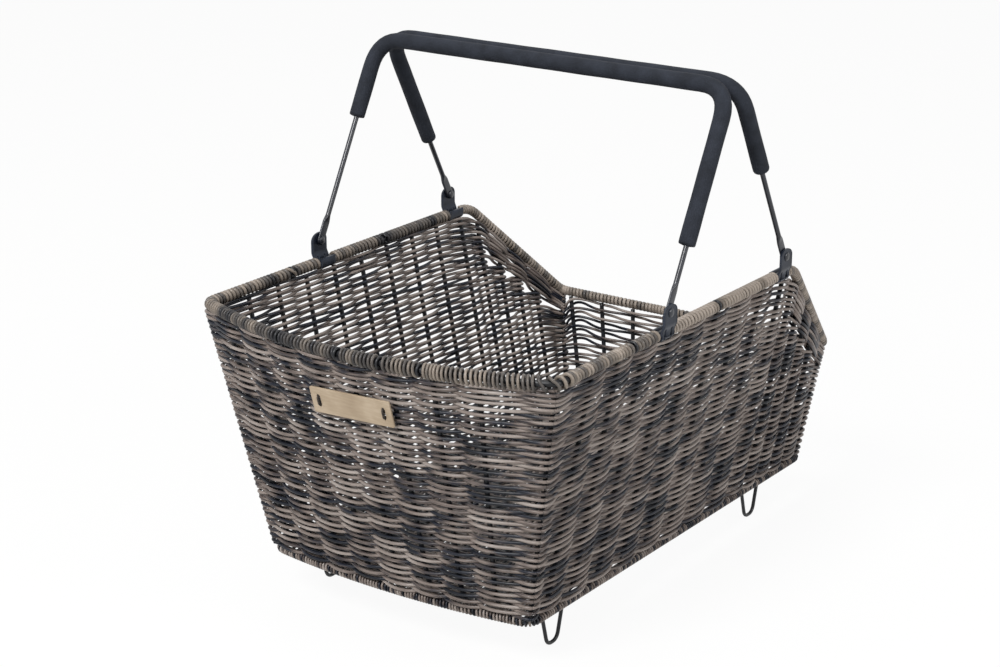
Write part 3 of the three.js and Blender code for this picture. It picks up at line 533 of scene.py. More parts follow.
def side_heads(x):
    """Points of the right-hand rim above x: level to the bend, then straight down to the saddle end."""
    along = np.clip((x - BEND_FORWARD) / SLOPE_RUN, 0.0, 1.0)
    half = (RIM_WIDTH + (SADDLE_WIDTH - RIM_WIDTH) * along) / 2
    return columns(x, -half, RIM_HEIGHT - SLOPE_FALL * along)


def corner_middle(before, corner, after, reach):
    """Halfway point of a rounded corner, as a list of one point."""
    return corner_curve(before, corner, after, reach)[CURVE_STEPS // 2][None]


level_x = np.linspace(CROSS_FIRST, CROSS_BEND, LEVEL_COUNT)
slope_x = np.linspace(CROSS_BEND, CROSS_LAST, SLOPE_COUNT + 1)[1:]
cross_x = np.concatenate([level_x, slope_x])[::-1]
long_place = np.arange(LONG_COUNT) - (LONG_COUNT - 1) / 2
base_y = BASE_SHIFT + BASE_SPACING * long_place
rim_y = RIM_SHIFT + RIM_SPACING * long_place
saddle_y = SADDLE_SHIFT + SADDLE_SPACING * long_place

right_feet = columns(cross_x, -BASE_WIDTH / 2, 0.0)
right_heads = side_heads(cross_x)
rear_feet = columns(bowed_x(base_y, BASE_LENGTH / 2, BASE_BOW, BASE_WIDTH), base_y, 0.0)
rear_heads = columns(bowed_x(rim_y, RIM_REAR, RIM_BOW, RIM_WIDTH), rim_y, RIM_HEIGHT)
saddle_feet = columns(BASE_LENGTH / 2, base_y, 0.0)
saddle_heads = columns(SADDLE_FORWARD, saddle_y, SADDLE_HEIGHT)
saddle_post_foot = corner_middle(right_feet[0], BASE_FRONT_CORNER, BASE_FRONT_CORNER * MIRROR, BASE_CORNER)
saddle_post_head = corner_middle(BEND, SADDLE_END, SADDLE_END * MIRROR, SADDLE_CORNER)
rear_post_foot = corner_middle(BASE_FRONT_CORNER, BASE_REAR_CORNER, base_rear[0], BASE_CORNER)
rear_post_head = corner_middle(BEND, RIM_REAR_CORNER, rim_rear[0], RIM_CORNER)


def all_round(saddle_post, right, rear_post, rear, saddle):
    """Uprights in order round the basket; the left side mirrors the right one."""
    return np.concatenate([
        saddle_post, right, rear_post, rear, rear_post * MIRROR, right[::-1] * MIRROR, saddle_post * MIRROR,
        saddle[::-1],
    ])


feet = all_round(saddle_post_foot, right_feet, rear_post_foot, rear_feet, saddle_feet)
heads = all_round(saddle_post_head, right_heads, rear_post_head, rear_heads, saddle_heads)
UPRIGHTS = len(feet)
SADDLE_RIGHT = 0
REAR_RIGHT = CROSS_COUNT + 1
REAR_LEFT = REAR_RIGHT + LONG_COUNT + 1
SADDLE_LEFT = REAR_LEFT + CROSS_COUNT + 1
print(UPRIGHTS, "uprights round the basket")

# %% [markdown]
# ## Rows of the weave
#
# The walls are plainly woven: one strand after another passes in front of one upright and behind the next,
# and the strand above it does the opposite. Two such strands make a row here, a lower and an upper one. Up to
# the height of the saddle end the rows run along both sides and the rear. Six of them turn back at the saddle
# posts, and the other twelve go on across the saddle end and share its height evenly, so it is woven more
# openly. The rows above run round the rear and the level part of the sides. Below the sloped part of the rim
# most of them turn back, each at an upright near the slope, and six bunch together and follow the slope down
# to the post.

# %% Heights of the rows
FIRST_ROW = 5.6
OPEN_TOP = 181.2
OPEN_ROWS = 35
LAST_ROW = 193.6
ROW_COUNT = 38
RING_ROWS = 18
SLOPE_CLEARANCE = 8.0
POST_CLEARANCE = 5.6
SQUEEZED_ROWS = 11
SQUEEZE = 0.78
ROW_WANDER = 0.38
SADDLE_TOP = 92.0
# Rows below the saddle end's height that turn back at its posts, counted from the base.
POST_ENDS = (2, 5, 8, 11, 14, 16)
# For each row above that height, the upright at which it turns back, counted from the saddle post.
FAN_ENDS = np.array([1, 1, 1, 2, 2, 2, 2, 3, 3, 3, 4, 4, 0, 4, 0, 0, 3, 0, 0, 0])
# How the rows share the room on the post and the next five uprights: 1 is evenly.
FAN_OPENING = (1.0, 0.9, 0.84, 0.84, 0.9, 1.0)
LEAST_SHARE = 0.05

GOES_ON = np.isin(np.arange(RING_ROWS), POST_ENDS, invert=True)

rng = np.random.default_rng(11)
level = np.concatenate([
    np.linspace(FIRST_ROW, OPEN_TOP, OPEN_ROWS),
    np.linspace(OPEN_TOP, LAST_ROW, ROW_COUNT - OPEN_ROWS + 1)[1:],
])
row_heights = np.repeat(level[:, None], UPRIGHTS, axis=1)
low_squeezed = RING_ROWS - SQUEEZED_ROWS
half_steps = np.repeat(np.gradient(level)[:, None] / 4, UPRIGHTS, axis=1)
squeezed = level[low_squeezed] + SQUEEZE * (level[low_squeezed:RING_ROWS] - level[low_squeezed])


def fan_heights(kept, foot, room, opening):
    """Heights and half steps of the fan rows on one upright: foot + room * share ^ opening, where the share
    counts the kept rows from 0 to 1, so that an opening below 1 leaves more room near the foot. A row that
    isn't kept takes the height of the kept one below it."""
    share = np.cumsum(kept) / kept.sum()
    pitch = room * opening * np.maximum(share, LEAST_SHARE) ** (opening - 1) / kept.sum()
    return foot + room * share ** opening, pitch / 4


for post, way in ((SADDLE_RIGHT, 1), (SADDLE_LEFT, -1)):
    row_heights[low_squeezed:RING_ROWS, post] = squeezed
    half_steps[low_squeezed:RING_ROWS, post] *= SQUEEZE
    for ends, opening in enumerate(FAN_OPENING):
        upright = post + way * ends
        foot = row_heights[RING_ROWS - 1, upright]
        slope_top = heads[upright, 2] - (SLOPE_CLEARANCE if ends else POST_CLEARANCE)
        room = min(slope_top, LAST_ROW) - foot
        fan_row, fan_half = fan_heights(FAN_ENDS <= ends, foot, room, opening)
        row_heights[RING_ROWS:, upright] = fan_row
        half_steps[RING_ROWS:, upright] = fan_half
row_heights[RING_ROWS:, SADDLE_LEFT + 1:] = row_heights[RING_ROWS:, :1]
open_share = (np.cumsum(GOES_ON) - 1) / (GOES_ON.sum() - 1)
row_heights[:RING_ROWS, SADDLE_LEFT + 1:] = FIRST_ROW + (SADDLE_TOP - FIRST_ROW) * open_share[:, None]
half_steps[:RING_ROWS, SADDLE_LEFT + 1:] = (SADDLE_TOP - FIRST_ROW) / (GOES_ON.sum() - 1) / 4
row_heights += rng.normal(0.0, ROW_WANDER, row_heights.shape)
print(ROW_COUNT, "rows,", round(float(level[1] - level[0]), 2), "mm apart")

# %% Middle lines of the rows
STEPS = 10
CORNER_EASE = 0.3
POSTS = [SADDLE_RIGHT, REAR_RIGHT, REAR_LEFT, SADDLE_LEFT]
# At each post: the share of their swing that the strands keep, and how far the rows are drawn outwards.
CORNER_SWING = np.array([[0.7], [0.5], [0.05], [1.0]])
POST_WRAP = np.array([[0.7, -0.7, 0.0], [-1.8, -1.8, 0.0], [-3.5, 3.5, 0.0], [0.7, 0.7, 0.0]])
corner_slope = np.ones((UPRIGHTS, 1))
corner_slope[POSTS] = CORNER_EASE
corner_swing = np.ones((UPRIGHTS, 1))
corner_swing[POSTS] = CORNER_SWING
corner_swing = np.repeat(corner_swing, STEPS, axis=0)


def smooth_round(points):
    """Closed smooth lines through points shaped (rows, uprights, 3): between neighbours a cubic with the end
    slopes weighted by the distances on either side, (s1 d0 + s0 d1) / (d0 + d1), and shortened at the corner
    posts, so that the strands turn sharply there."""
    ahead = np.roll(points, -1, axis=1)
    step = np.linalg.norm(ahead - points, axis=2, keepdims=True)
    speed = (ahead - points) / step
    step_before = np.roll(step, 1, axis=1)
    slope = (speed * step_before + np.roll(speed, 1, axis=1) * step) / (step + step_before) * corner_slope
    f = (np.arange(STEPS) / STEPS)[:, None]
    lines = (
        (2 * f ** 3 - 3 * f ** 2 + 1) * points[:, :, None]
        + (f ** 3 - 2 * f ** 2 + f) * (step * slope)[:, :, None]
        + (3 * f ** 2 - 2 * f ** 3) * ahead[:, :, None]
        + (f ** 3 - f ** 2) * (step * np.roll(slope, -1, axis=1))[:, :, None]
    )
    return lines.reshape(len(points), -1, 3)


share_up = row_heights / heads[:, 2]
row_points = feet + (heads - feet) * share_up[..., None]
row_points[:, POSTS] += POST_WRAP
row_lines = smooth_round(row_points)
rise = np.repeat(unit(heads - feet), STEPS, axis=0)
blend = np.tile(np.arange(STEPS) / STEPS, UPRIGHTS)[:, None]
rise = unit(rise * (1 - blend) + np.roll(rise, -STEPS, axis=0) * blend)
half_step = np.repeat(half_steps, STEPS, axis=1) * (1 - blend[:, 0])
half_step += np.repeat(np.roll(half_steps, -1, axis=1), STEPS, axis=1) * blend[:, 0]
row_tangent = unit(np.roll(row_lines, -1, axis=1) - np.roll(row_lines, 1, axis=1))
row_outward = unit(np.cross(rise, row_tangent))
row_travel = np.concatenate([
    np.zeros((ROW_COUNT, 1)),
    np.cumsum(np.linalg.norm(np.diff(row_lines, axis=1), axis=2), axis=1),
], axis=1)
print("once round is", round(float(row_travel[0, -1])), "mm at the base")

# %% [markdown]
# ## Strands of the walls
#
# A strand's distance in front of the wall's middle follows a cosine along the row, a little flattened at the
# uprights, because the strand lies along an upright for a while. The other strand of the row swings the other
# way, and the two keep a quarter of the row's pitch below and above its middle line. A drawing of a weave on
# a plain sheet would be quicker to make, but daylight shows between the strands and both faces of a wall are
# in sight, so every strand is modelled.

# %% Woven strands
STRAND_RADIUS = 1.27
STRAND_SIDES = 8
UPRIGHT_RADIUS = 1.9
PRESSED_IN = 0.37
FLATTENING = 1.1
TURN_BACK_POINTS = 9
SWING = UPRIGHT_RADIUS + STRAND_RADIUS - PRESSED_IN

turn = np.pi * np.arange(UPRIGHTS * STEPS) / STEPS
swing = SWING * np.tanh(FLATTENING * np.cos(turn)) / np.tanh(FLATTENING)
swing *= (corner_swing * (1 - blend) + np.roll(corner_swing, -STEPS, axis=0) * blend)[:, 0]


def wall_strands(rows, first, last):
    """Skins and lays of both strands of some rows, from one upright to another in order round the basket."""
    place = np.arange(first * STEPS, last * STEPS + 1)
    here = place % (UPRIGHTS * STEPS)
    pick = np.ix_(rows, here)
    lines = row_lines[pick]
    outward = row_outward[pick]
    row_number = np.broadcast_to(np.asarray(rows, float)[:, None], lines.shape[:2])
    skins = []
    lays = []
    for strand, sign in ((0, 1.0), (1, -1.0)):
        shift = swing[here][:, None] * outward - half_step[pick][..., None] * rise[here]
        centre = lines + sign * shift
        skins.append(skin_rings(centre, outward, STRAND_RADIUS, STRAND_RADIUS, STRAND_SIDES))
        strand_number = np.full(lines.shape[:2], float(strand))
        lays.append(np.stack([row_travel[pick], row_number, strand_number], axis=-1))
    return skins, lays


def turn_backs(rows, upright, way):
    """Half rings that join a row's two strands round the upright where the row ends; way is 1 or -1 along
    the row. Points: upright + swing (cos a * outward + sin a * way * along) - half step * cos a * rise."""
    here = upright * STEPS
    angle = np.linspace(0.0, np.pi, TURN_BACK_POINTS)[:, None]
    outward = row_outward[rows, here][:, None]
    along = way * row_tangent[rows, here][:, None]
    reach = abs(swing[here])
    climb = np.sign(swing[here]) * half_step[rows, here][:, None, None] * np.cos(angle) * rise[here]
    around = np.cos(angle) * outward + np.sin(angle) * along
    centre = row_lines[rows, here][:, None] + reach * around - climb
    bent = np.broadcast_to(rise[here], centre.shape)
    lay = np.broadcast_to(row_travel[rows, here][:, None], centre.shape[:2])
    row_number = np.broadcast_to(np.asarray(rows, float)[:, None], centre.shape[:2])
    return (
        skin_rings(centre, bent, STRAND_RADIUS, STRAND_RADIUS, STRAND_SIDES),
        np.stack([lay + reach * angle[:, 0], row_number, np.zeros(centre.shape[:2])], axis=-1),
    )


# %% Four woven walls
ring_rows = np.arange(RING_ROWS)
fan_rows = np.arange(RING_ROWS, ROW_COUNT)


def woven_wall(label, stacks, lays):
    """One wall as a piece that stands for its CAD slab."""
    add_tubes(f"woven_{label}_wall", stacks, "basket", woven_strand, [f"weave_{label}"], lays)


def side_wall(label, at_saddle, at_rear, way):
    """A long side: ring rows, some of which turn back at the saddle post, and fan rows that turn back one
    after another."""
    stacks, lays = wall_strands(ring_rows, min(at_saddle, at_rear), max(at_saddle, at_rear))
    skin, lay = turn_backs(ring_rows[~GOES_ON], at_saddle, -way)
    stacks.append(skin)
    lays.append(lay)
    for ends in range(FAN_ENDS.max() + 1):
        rows = fan_rows[FAN_ENDS == ends]
        end = at_saddle + way * ends
        skins, strand_lays = wall_strands(rows, min(end, at_rear), max(end, at_rear))
        skin, lay = turn_backs(rows, end, -way)
        stacks += [*skins, skin]
        lays += [*strand_lays, lay]
    woven_wall(label, stacks, lays)


side_wall("right", SADDLE_RIGHT, REAR_RIGHT, 1)
side_wall("left", SADDLE_LEFT, REAR_LEFT, -1)
woven_wall("rear", *wall_strands(np.arange(ROW_COUNT), REAR_RIGHT, REAR_LEFT))
woven_wall("saddle", *wall_strands(ring_rows[GOES_ON], SADDLE_LEFT, UPRIGHTS))

# %% [markdown]
# ## Floor
#
# Pinpricks of daylight show through the lower walls, so the floor lets a little light through too: it is
# woven like the walls, on the cross wires. Five rows lie between two lengthwise wires, which rest on the
# cross wires. A pierced plate could stand in for it. The walls' own formula, laid flat, costs no more and
# holds up from above.

# %% Woven floor
FLOOR_PITCH = 5.6
FLOOR_FIRST = -107.0
FLOOR_ROWS = 39
FLOOR_MARGIN = 3.0
FLOOR_WANDER = 0.5
# Where the floor's strands start in the strand finish, so that its patches aren't those of a wall.
FLOOR_ROW_START = 100.0
FLOOR_LAY_START = 300.0


def floor_strands():
    """Rows along X: level lines through the cross wires, with the same swing and step as in the walls, now
    upwards and sideways."""
    row_y = FLOOR_FIRST + FLOOR_PITCH * np.arange(FLOOR_ROWS)[:, None]
    spans = CROSS_COUNT + 1
    start = bowed_x(row_y, BASE_LENGTH / 2, BASE_BOW, BASE_WIDTH) + FLOOR_MARGIN
    x = start + (BASE_LENGTH / 2 - FLOOR_MARGIN - start) * np.linspace(0.0, 1.0, spans * STEPS + 1)
    wires = cross_x[::-1]
    knots = np.concatenate([[2 * wires[0] - wires[1]], wires, [2 * wires[-1] - wires[-2]]])
    wire_number = np.interp(x, knots, np.arange(len(knots)))
    up = SWING * np.tanh(FLATTENING * np.cos(np.pi * wire_number)) / np.tanh(FLATTENING)
    wander = rng.normal(0.0, FLOOR_WANDER, (FLOOR_ROWS, len(knots)))
    drift = np.stack([np.interp(places, knots, row) for places, row in zip(x, wander)])
    row_number = np.broadcast_to(FLOOR_ROW_START + np.arange(FLOOR_ROWS)[:, None], x.shape)
    stacks = []
    lays = []
    for strand, sign in ((0, 1.0), (1, -1.0)):
        lines = columns(x, row_y + drift - sign * FLOOR_PITCH / 4, sign * up)
        stacks.append(skin_rings(lines, UP, STRAND_RADIUS, STRAND_RADIUS, STRAND_SIDES))
        lays.append(np.stack([x + FLOOR_LAY_START, row_number, np.full(x.shape, float(strand))], axis=-1))
    return stacks, lays


floor_skins, floor_lays = floor_strands()
add_tubes("woven_floor", floor_skins, "basket", woven_strand, ["weave_floor"], floor_lays)

# %% [markdown]
# ## Wires
#
# Uprights, posts, rods and hooks are steel wire with a black polymer coat: smooth, with a soft shine that a
# faint ripple breaks up. A single flat black would look like a hole in the picture, so the shade drifts a
# little as well. Each upright goes on across the floor and up the opposite wall, so it is one line with two
# bends; only the corner posts end at the base ring.

# %% Black polymer coat on steel wire
COAT_DEPTH = 0.0001


def coat_finish(name, deep, pale, cloud, detail, grain, relief, shine, sheerest, dullest):
    """A dark coat on steel: clouds, cloud mm wide, vary the shade from deep to pale, and a ripple, grain mm
    wide, moves the surface and the roughness, which runs from the sheerest to the dullest. Shine is the level
    of its reflection."""
    material, tree, surface = new_material(name)
    place = add_node(tree, "ShaderNodeTexCoord")
    clouds = add_node(tree, "ShaderNodeTexNoise", {
        "Vector": place.outputs["Object"], "Scale": 1 / (cloud * MM), "Detail": detail,
    })
    ripple = add_node(tree, "ShaderNodeTexNoise", {
        "Vector": place.outputs["Object"], "Scale": 1 / (grain * MM), "Detail": 2.0,
    })
    gloss = add_node(tree, "ShaderNodeMapRange", {
        "Value": ripple.outputs["Fac"], "To Min": sheerest, "To Max": dullest,
    })
    stops = ((0.3, deep), (0.7, pale))
    colour_and_relief(surface, clouds.outputs["Fac"], stops, ripple.outputs["Fac"], relief, COAT_DEPTH, {
        "Roughness": gloss.outputs[0], "IOR": 1.5, "Specular IOR Level": shine,
    })
    return material


black_coat = coat_finish(
    "black_polymer_coat", "#0e0f12", "#1d1f24", cloud=20, detail=3.0, grain=1.2, relief=0.2,
    shine=0.35, sheerest=0.3, dullest=0.5,
)
print(black_coat.name, "made")

# %% Upright wires and posts
RIB_BEND = 20.0
LONG_RIB_LEVEL = 4.9
WIRE_SIDES = 10
WIRE_SPACING = 3.0
# How far below the rim's line each wire ends, and how far above the base's line each post starts.
HEAD_TRIM = 6.3
SLOPE_TRIM = 7.8
SADDLE_TRIM = 4.55
FOOT_TRIM = 4.05


def wire(name, line, across, radius, nodes, spacing=WIRE_SPACING):
    """A round coated wire along a line; across is any direction that the line never follows."""
    points = spaced(line, spacing)[None]
    rings = skin_rings(points, across, radius, radius, WIRE_SIDES)
    add_tubes(name, [rings], "basket", black_coat, nodes)


def below_head(head, foot, trim):
    """The point of an upright that lies a trim below its head."""
    return head + trim * unit(foot - head)


for i, (foot, head) in enumerate(zip(right_feet[::-1], right_heads[::-1])):
    top = below_head(head, foot, SLOPE_TRIM if head[2] < RIM_HEIGHT else HEAD_TRIM)
    line = rounded([(top, 0), (foot, RIB_BEND), (foot * MIRROR, RIB_BEND), (top * MIRROR, 0)])
    wire(f"cross_wire_{i + 1}", line, FORWARD, UPRIGHT_RADIUS, [f"cross_rib_{i + 1}"])

for i in range(LONG_COUNT):
    rear_bend = rear_feet[i] + (rear_heads[i] - rear_feet[i]) * LONG_RIB_LEVEL / RIM_HEIGHT
    saddle_bend = saddle_feet[i] + (saddle_heads[i] - saddle_feet[i]) * LONG_RIB_LEVEL / SADDLE_HEIGHT
    line = rounded([
        (below_head(rear_heads[i], rear_feet[i], HEAD_TRIM), 0),
        (rear_bend, RIB_BEND),
        (saddle_bend, RIB_BEND),
        (below_head(saddle_heads[i], saddle_feet[i], SADDLE_TRIM), 0),
    ])
    wire(f"long_wire_{i + 1}", line, LEFT, UPRIGHT_RADIUS, [f"long_rib_{i + 1}"])

for end, foot, head in (("rear", rear_post_foot[0], rear_post_head[0]),
                        ("saddle", saddle_post_foot[0], saddle_post_head[0])):
    for label, side in (("right", np.ones(3)), ("left", MIRROR)):
        line = np.stack([below_head(foot, head, FOOT_TRIM), below_head(head, foot, HEAD_TRIM)]) * side
        wire(f"post_{end}_{label}", line, FORWARD, UPRIGHT_RADIUS, [f"corner_post_{end}_{label}"])

# %% [markdown]
# ## Rods of rim and base
#
# One rod is bent round the whole rim and another round the base. The rim rod shows where its windings part:
# at the four brackets, under the hooked ends of uprights and between the loose turns at the near corner. Both
# rods are the same on the left and the right, so the right half of each is written down and mirrored, which
# leaves a joint a hair's breadth wide in the middle of the saddle end.

# %% Rim rod and base rod
RIM_ROD_RADIUS = 2.5
BASE_ROD_RADIUS = 1.75
ROD_JOINT = 0.2


def both_sides(right_half):
    """A closed-looking line from its right half: the half itself, then its mirror image run backwards."""
    return right_half + [(point * MIRROR, reach) for point, reach in reversed(right_half)]


def rear_half(corner, reach, rear):
    """Corners of the right half of a bowed rear edge."""
    half = len(rear) // 2
    return [(corner, reach)] + [(point, 0) for point in rear[:half]]


rim_half = [
    (np.array([SADDLE_FORWARD, -ROD_JOINT, SADDLE_HEIGHT]), 0),
    (SADDLE_END, SADDLE_CORNER),
    (BEND, BEND_REACH),
    *rear_half(RIM_REAR_CORNER, RIM_CORNER, rim_rear),
]
base_half = [
    (np.array([BASE_LENGTH / 2, -ROD_JOINT, 0.0]), 0),
    (BASE_FRONT_CORNER, BASE_CORNER),
    *rear_half(BASE_REAR_CORNER, BASE_CORNER, base_rear),
]
wire("rim_rod_bare", rounded(both_sides(rim_half)), UP, RIM_ROD_RADIUS, ["rim_rod"])
wire("base_rod_bare", rounded(both_sides(base_half)), UP, BASE_ROD_RADIUS, ["base_rod"])

# %% [markdown]
# ## Windings
#
# Strand is wound closely round the rods. A winding is a helix about the rod's line: the angle grows by one
# turn for each pitch travelled. Where the pitch is made longer for a few millimetres the turns part and the
# dark rod shows, as it does at the near corner and where an upright's end is hooked over the rim. The Screw
# modifier winds about a straight axis only, and these rods bend, so the helix is worked out along the line.

# %% Wound strand
TURN_STEPS = 16
RAIL_SPACING = 0.5
PARTING_WIDTH = 1.9
PARTING_PITCH = 26.0
PITCH_WANDER = 0.1
WANDER_SPACING = 9.0
WANDER_PAST = 20.0
WOUND_STOPS = (
    (0.30, "#29292c"),
    (0.45, "#58534f"),
    (0.56, "#81776d"),
    (0.72, "#9b9086"),
)
# Half the width of a turn as a share of the pitch: turns of the thin flat strand at the saddle end lie
# closest.
WOUND_FILL = 0.34
SADDLE_FILL = 0.42

wound_strand = strand_finish(
    "wound_polyethylene_strand", WOUND_STOPS, patch_length=150.0, patch_rows=2.6,
)
base_strand = strand_finish(
    "thin_wound_polyethylene_strand", STRAND_STOPS, patch_length=40.0, patch_rows=1.3,
)


def along_winding(value, points):
    """A value at every point of a winding, from a single number or from a function of the points."""
    return value(points) if callable(value) else np.full(len(points), value)


def helix(line, outer, thickness, pitch, partings):
    """Helix about a line: centre + (outer - thickness / 2)(cos a * up + sin a * side), where the angle a is
    2 pi times the distance travelled over the pitch, and the outer radius may change along the line. Partings
    are points on the line where the pitch is stretched by a bell curve."""
    rail = spaced(line, RAIL_SPACING)
    along = travelled(rail)
    places = np.arange(0.0, along[-1] + WANDER_PAST, WANDER_SPACING)
    wander = rng.normal(1.0, PITCH_WANDER, len(places))
    local = along_winding(pitch, rail) * np.interp(along, places, wander)
    for parting in partings:
        near = along[np.argmin(np.linalg.norm(rail - parting, axis=1))]
        local = local + PARTING_PITCH * np.exp(-((along - near) / PARTING_WIDTH) ** 2)
    angle = 2 * np.pi * np.cumsum(RAIL_SPACING / local)
    turns = np.arange(angle[0], angle[-1], 2 * np.pi / TURN_STEPS)
    distance = np.interp(turns, angle, along)
    centre = at_distances(rail, distance)
    ahead = unit(np.gradient(centre, axis=0))
    up = unit(UP - ahead[:, 2:] * ahead)
    side = np.cross(ahead, up)
    radial = np.cos(turns)[:, None] * up + np.sin(turns)[:, None] * side
    reach = along_winding(outer, centre) - thickness / 2
    return centre + reach[:, None] * radial, radial, turns


def winding(name, line, node, outer, thickness, pitch, tone, partings=(), squareness=2.0, fill=WOUND_FILL,
            finish=wound_strand):
    """A wound strand as one piece: a section half as thick as the strand and nearly as wide as the pitch, and
    a tone for its colour that may differ from point to point; on the side windings the tone also holds
    painted light and shade."""
    points, radial, turns = helix(line, outer, thickness, pitch, partings)
    half_wide = along_winding(pitch, points)[None] * fill
    rings = skin_rings(points[None], radial[None], thickness / 2, half_wide, STRAND_SIDES, squareness)
    lay = np.stack([travelled(points), turns / (2 * np.pi), np.full(len(points), thickness)], axis=-1)[None]
    made = add_tubes(name, [rings], "basket", finish, [node], [lay])
    tones = along_winding(tone, points)
    shades = made.data.attributes.new("tone", "FLOAT", "POINT")
    shades.data.foreach_set("value", np.repeat(tones, STRAND_SIDES).astype(np.float32))


# %% Rear winding along the bow
BOW_START = 205.0
BOW_BLEND = 27.0
FULL_START = 20.0
FULL_BLEND = 55.0
SLIM_OUTER = 4.8
FULLER = 1.2
SIDE_PITCH = 4.0
TIGHTER = 0.7
TONE_Y = (-159.0, -122.0, -114.0, -68.0, -62.0, 64.0, 130.0, 159.0)
TONE_STEPS = (0.04, -0.03, 0.05, 0.05, -0.05, -0.15, -0.11, -0.02)


def on_bow(points):
    """0 on the sides, 1 on the bow, rising evenly round the corner."""
    return np.clip((-points[:, 0] - BOW_START) / BOW_BLEND, 0.0, 1.0)


def rear_outer(points):
    """Radius of the rear winding: slim at the sides and on the left, full on the right half of the bow."""
    on_right = np.clip((FULL_START - points[:, 1]) / FULL_BLEND, 0.0, 1.0)
    return SLIM_OUTER + FULLER * on_bow(points) * on_right


def rear_pitch(points):
    """Pitch of the rear winding: 4 mm along the sides, 3.3 mm on the bow."""
    return SIDE_PITCH - TIGHTER * on_bow(points)


def rear_tone(points):
    """Tone of the rear winding along the bow: dark on the left, tan between two dark bands on the right."""
    return np.interp(points[:, 1], TONE_Y, TONE_STEPS)


# %% Windings of rim and base
BRACKET_HALF = 9.3
REAR_BANDS = (64.0, 5.0, -32.0, -64.0)
SIDE_BANDS = (-133.0, -14.5)
CORNER_BANDS = ((-222.0, -158.5), (-229.0, -155.0), (-233.5, -149.0))

rear_start = np.array([REAR_PIVOT - BRACKET_HALF, -RIM_WIDTH / 2, RIM_HEIGHT])
saddle_start = np.array([FRONT_PIVOT + BRACKET_HALF, -RIM_WIDTH / 2, RIM_HEIGHT])
rear_line = rounded(both_sides([(rear_start, 0), *rear_half(RIM_REAR_CORNER, RIM_CORNER, rim_rear)]))
saddle_line = rounded(both_sides([(saddle_start, 0), (BEND, BEND_REACH), (SADDLE_END, SADDLE_CORNER)]))
rear_partings = [columns(bowed_x(y, RIM_REAR, RIM_BOW, RIM_WIDTH), y, RIM_HEIGHT) for y in REAR_BANDS]
right_partings = [columns(x, -RIM_WIDTH / 2, RIM_HEIGHT) for x in SIDE_BANDS]
left_partings = [parting * MIRROR for parting in right_partings]
corner_partings = [columns(x, y, RIM_HEIGHT) for x, y in CORNER_BANDS]
winding(
    "rear_rim_winding", rear_line, "rim_wrap_rear", outer=rear_outer, thickness=2.8, pitch=rear_pitch,
    tone=rear_tone,
    partings=[*rear_partings, right_partings[0], left_partings[0], *corner_partings],
)
winding(
    "saddle_rim_winding", saddle_line, "rim_wrap_saddle", outer=4.25, thickness=1.8, pitch=3.8, tone=0.07,
    squareness=2.3, fill=SADDLE_FILL,
)
# The right winding's tone is raised as painted light on the lit right side. The left one's is lowered as
# painted shade on the left, whose inner face lies in shade.
side_windings_lit_and_shaded = (("right", -1.0, right_partings, 0.2), ("left", 1.0, left_partings, -0.08))
for label, side, partings, tone in side_windings_lit_and_shaded:
    ends = columns([REAR_PIVOT + BRACKET_HALF, FRONT_PIVOT - BRACKET_HALF], side * RIM_WIDTH / 2, RIM_HEIGHT)
    winding(
        f"{label}_rim_winding", ends, f"rim_wrap_{label}", outer=4.9, thickness=2.6, pitch=4.0, tone=tone,
        partings=partings[1:],
    )

base_rear_half = [
    (np.array([-ROD_JOINT, -BASE_WIDTH / 2, 0.0]), 0),
    *rear_half(BASE_REAR_CORNER, BASE_CORNER, base_rear),
]
base_front_half = [(np.array([ROD_JOINT, -BASE_WIDTH / 2, 0.0]), 0), (BASE_FRONT_CORNER, BASE_CORNER)]
for end, half, tone in (("rear", base_rear_half, 0.02), ("front", base_front_half, -0.02)):
    winding(
        f"{end}_base_winding", rounded(both_sides(half)), f"base_wrap_{end}", outer=3.75, thickness=2.0,
        pitch=2.7, tone=tone, finish=base_strand,
    )

# %% [markdown]
# ## Hooked ends of uprights
#
# Where the rim's turns part, the end of an upright is bent over the rod. Each is a short arc of black wire
# about the rod, open towards the inside. One arc serves for all of them, moved along the rod.

# %% Upright ends over the rim
LOOP_WIRE = 1.2
LOOP_RADIUS = RIM_ROD_RADIUS + LOOP_WIRE
LOOP_ARC = np.radians(np.linspace(-150.0, 150.0, 25))


def rod_loops(points, towards, out):
    """Arcs about points of a rod: point + radius (cos a * out + sin a * up), in planes square to the rod."""
    arc = LOOP_RADIUS * (np.cos(LOOP_ARC)[:, None] * out + np.sin(LOOP_ARC)[:, None] * UP)
    return skin_rings(np.array(points)[:, None] + arc, towards, LOOP_WIRE, LOOP_WIRE, WIRE_SIDES)


loops = [
    rod_loops(right_partings, FORWARD, -LEFT),
    rod_loops(left_partings, FORWARD, LEFT),
    rod_loops(rear_partings, LEFT, -FORWARD),
]
add_tubes("hooked_upright_ends", loops, "basket", black_coat)

# %% [markdown]
# ## Hooks
#
# Four V-shaped wire loops hang below the floor for the carrier. Each leg goes up through the weave and is
# bent over the nearest lengthwise floor wire. Both legs are alike, so one is written down, and the other is
# its twin run backwards.

# %% Carrier hooks
HOOK_RADIUS = 1.5
HOOK_SIDE = 106.0
HOOK_SPREAD = 28.0
HOOK_TIP = 13.0
HOOK_TIP_REACH = 6.0
HOOK_STUB = 10.35
HOOK_BOTTOM = 38.1
HOOK_OVER = 8.4
HOOK_RISE = 106.5
HOOK_CURL = 4.5
HOOK_END = 3.4
HOOK_END_REACH = 2.5
HOOK_LEG_REACH = 3.0
HOOK_SPACING = 1.0
HOOK_PLACES = (("rear", -154.5), ("front", 145.0))
# A direction that no part of a hook follows, to start its section from.
ASKEW = np.array([0.31, 0.83, 0.46])


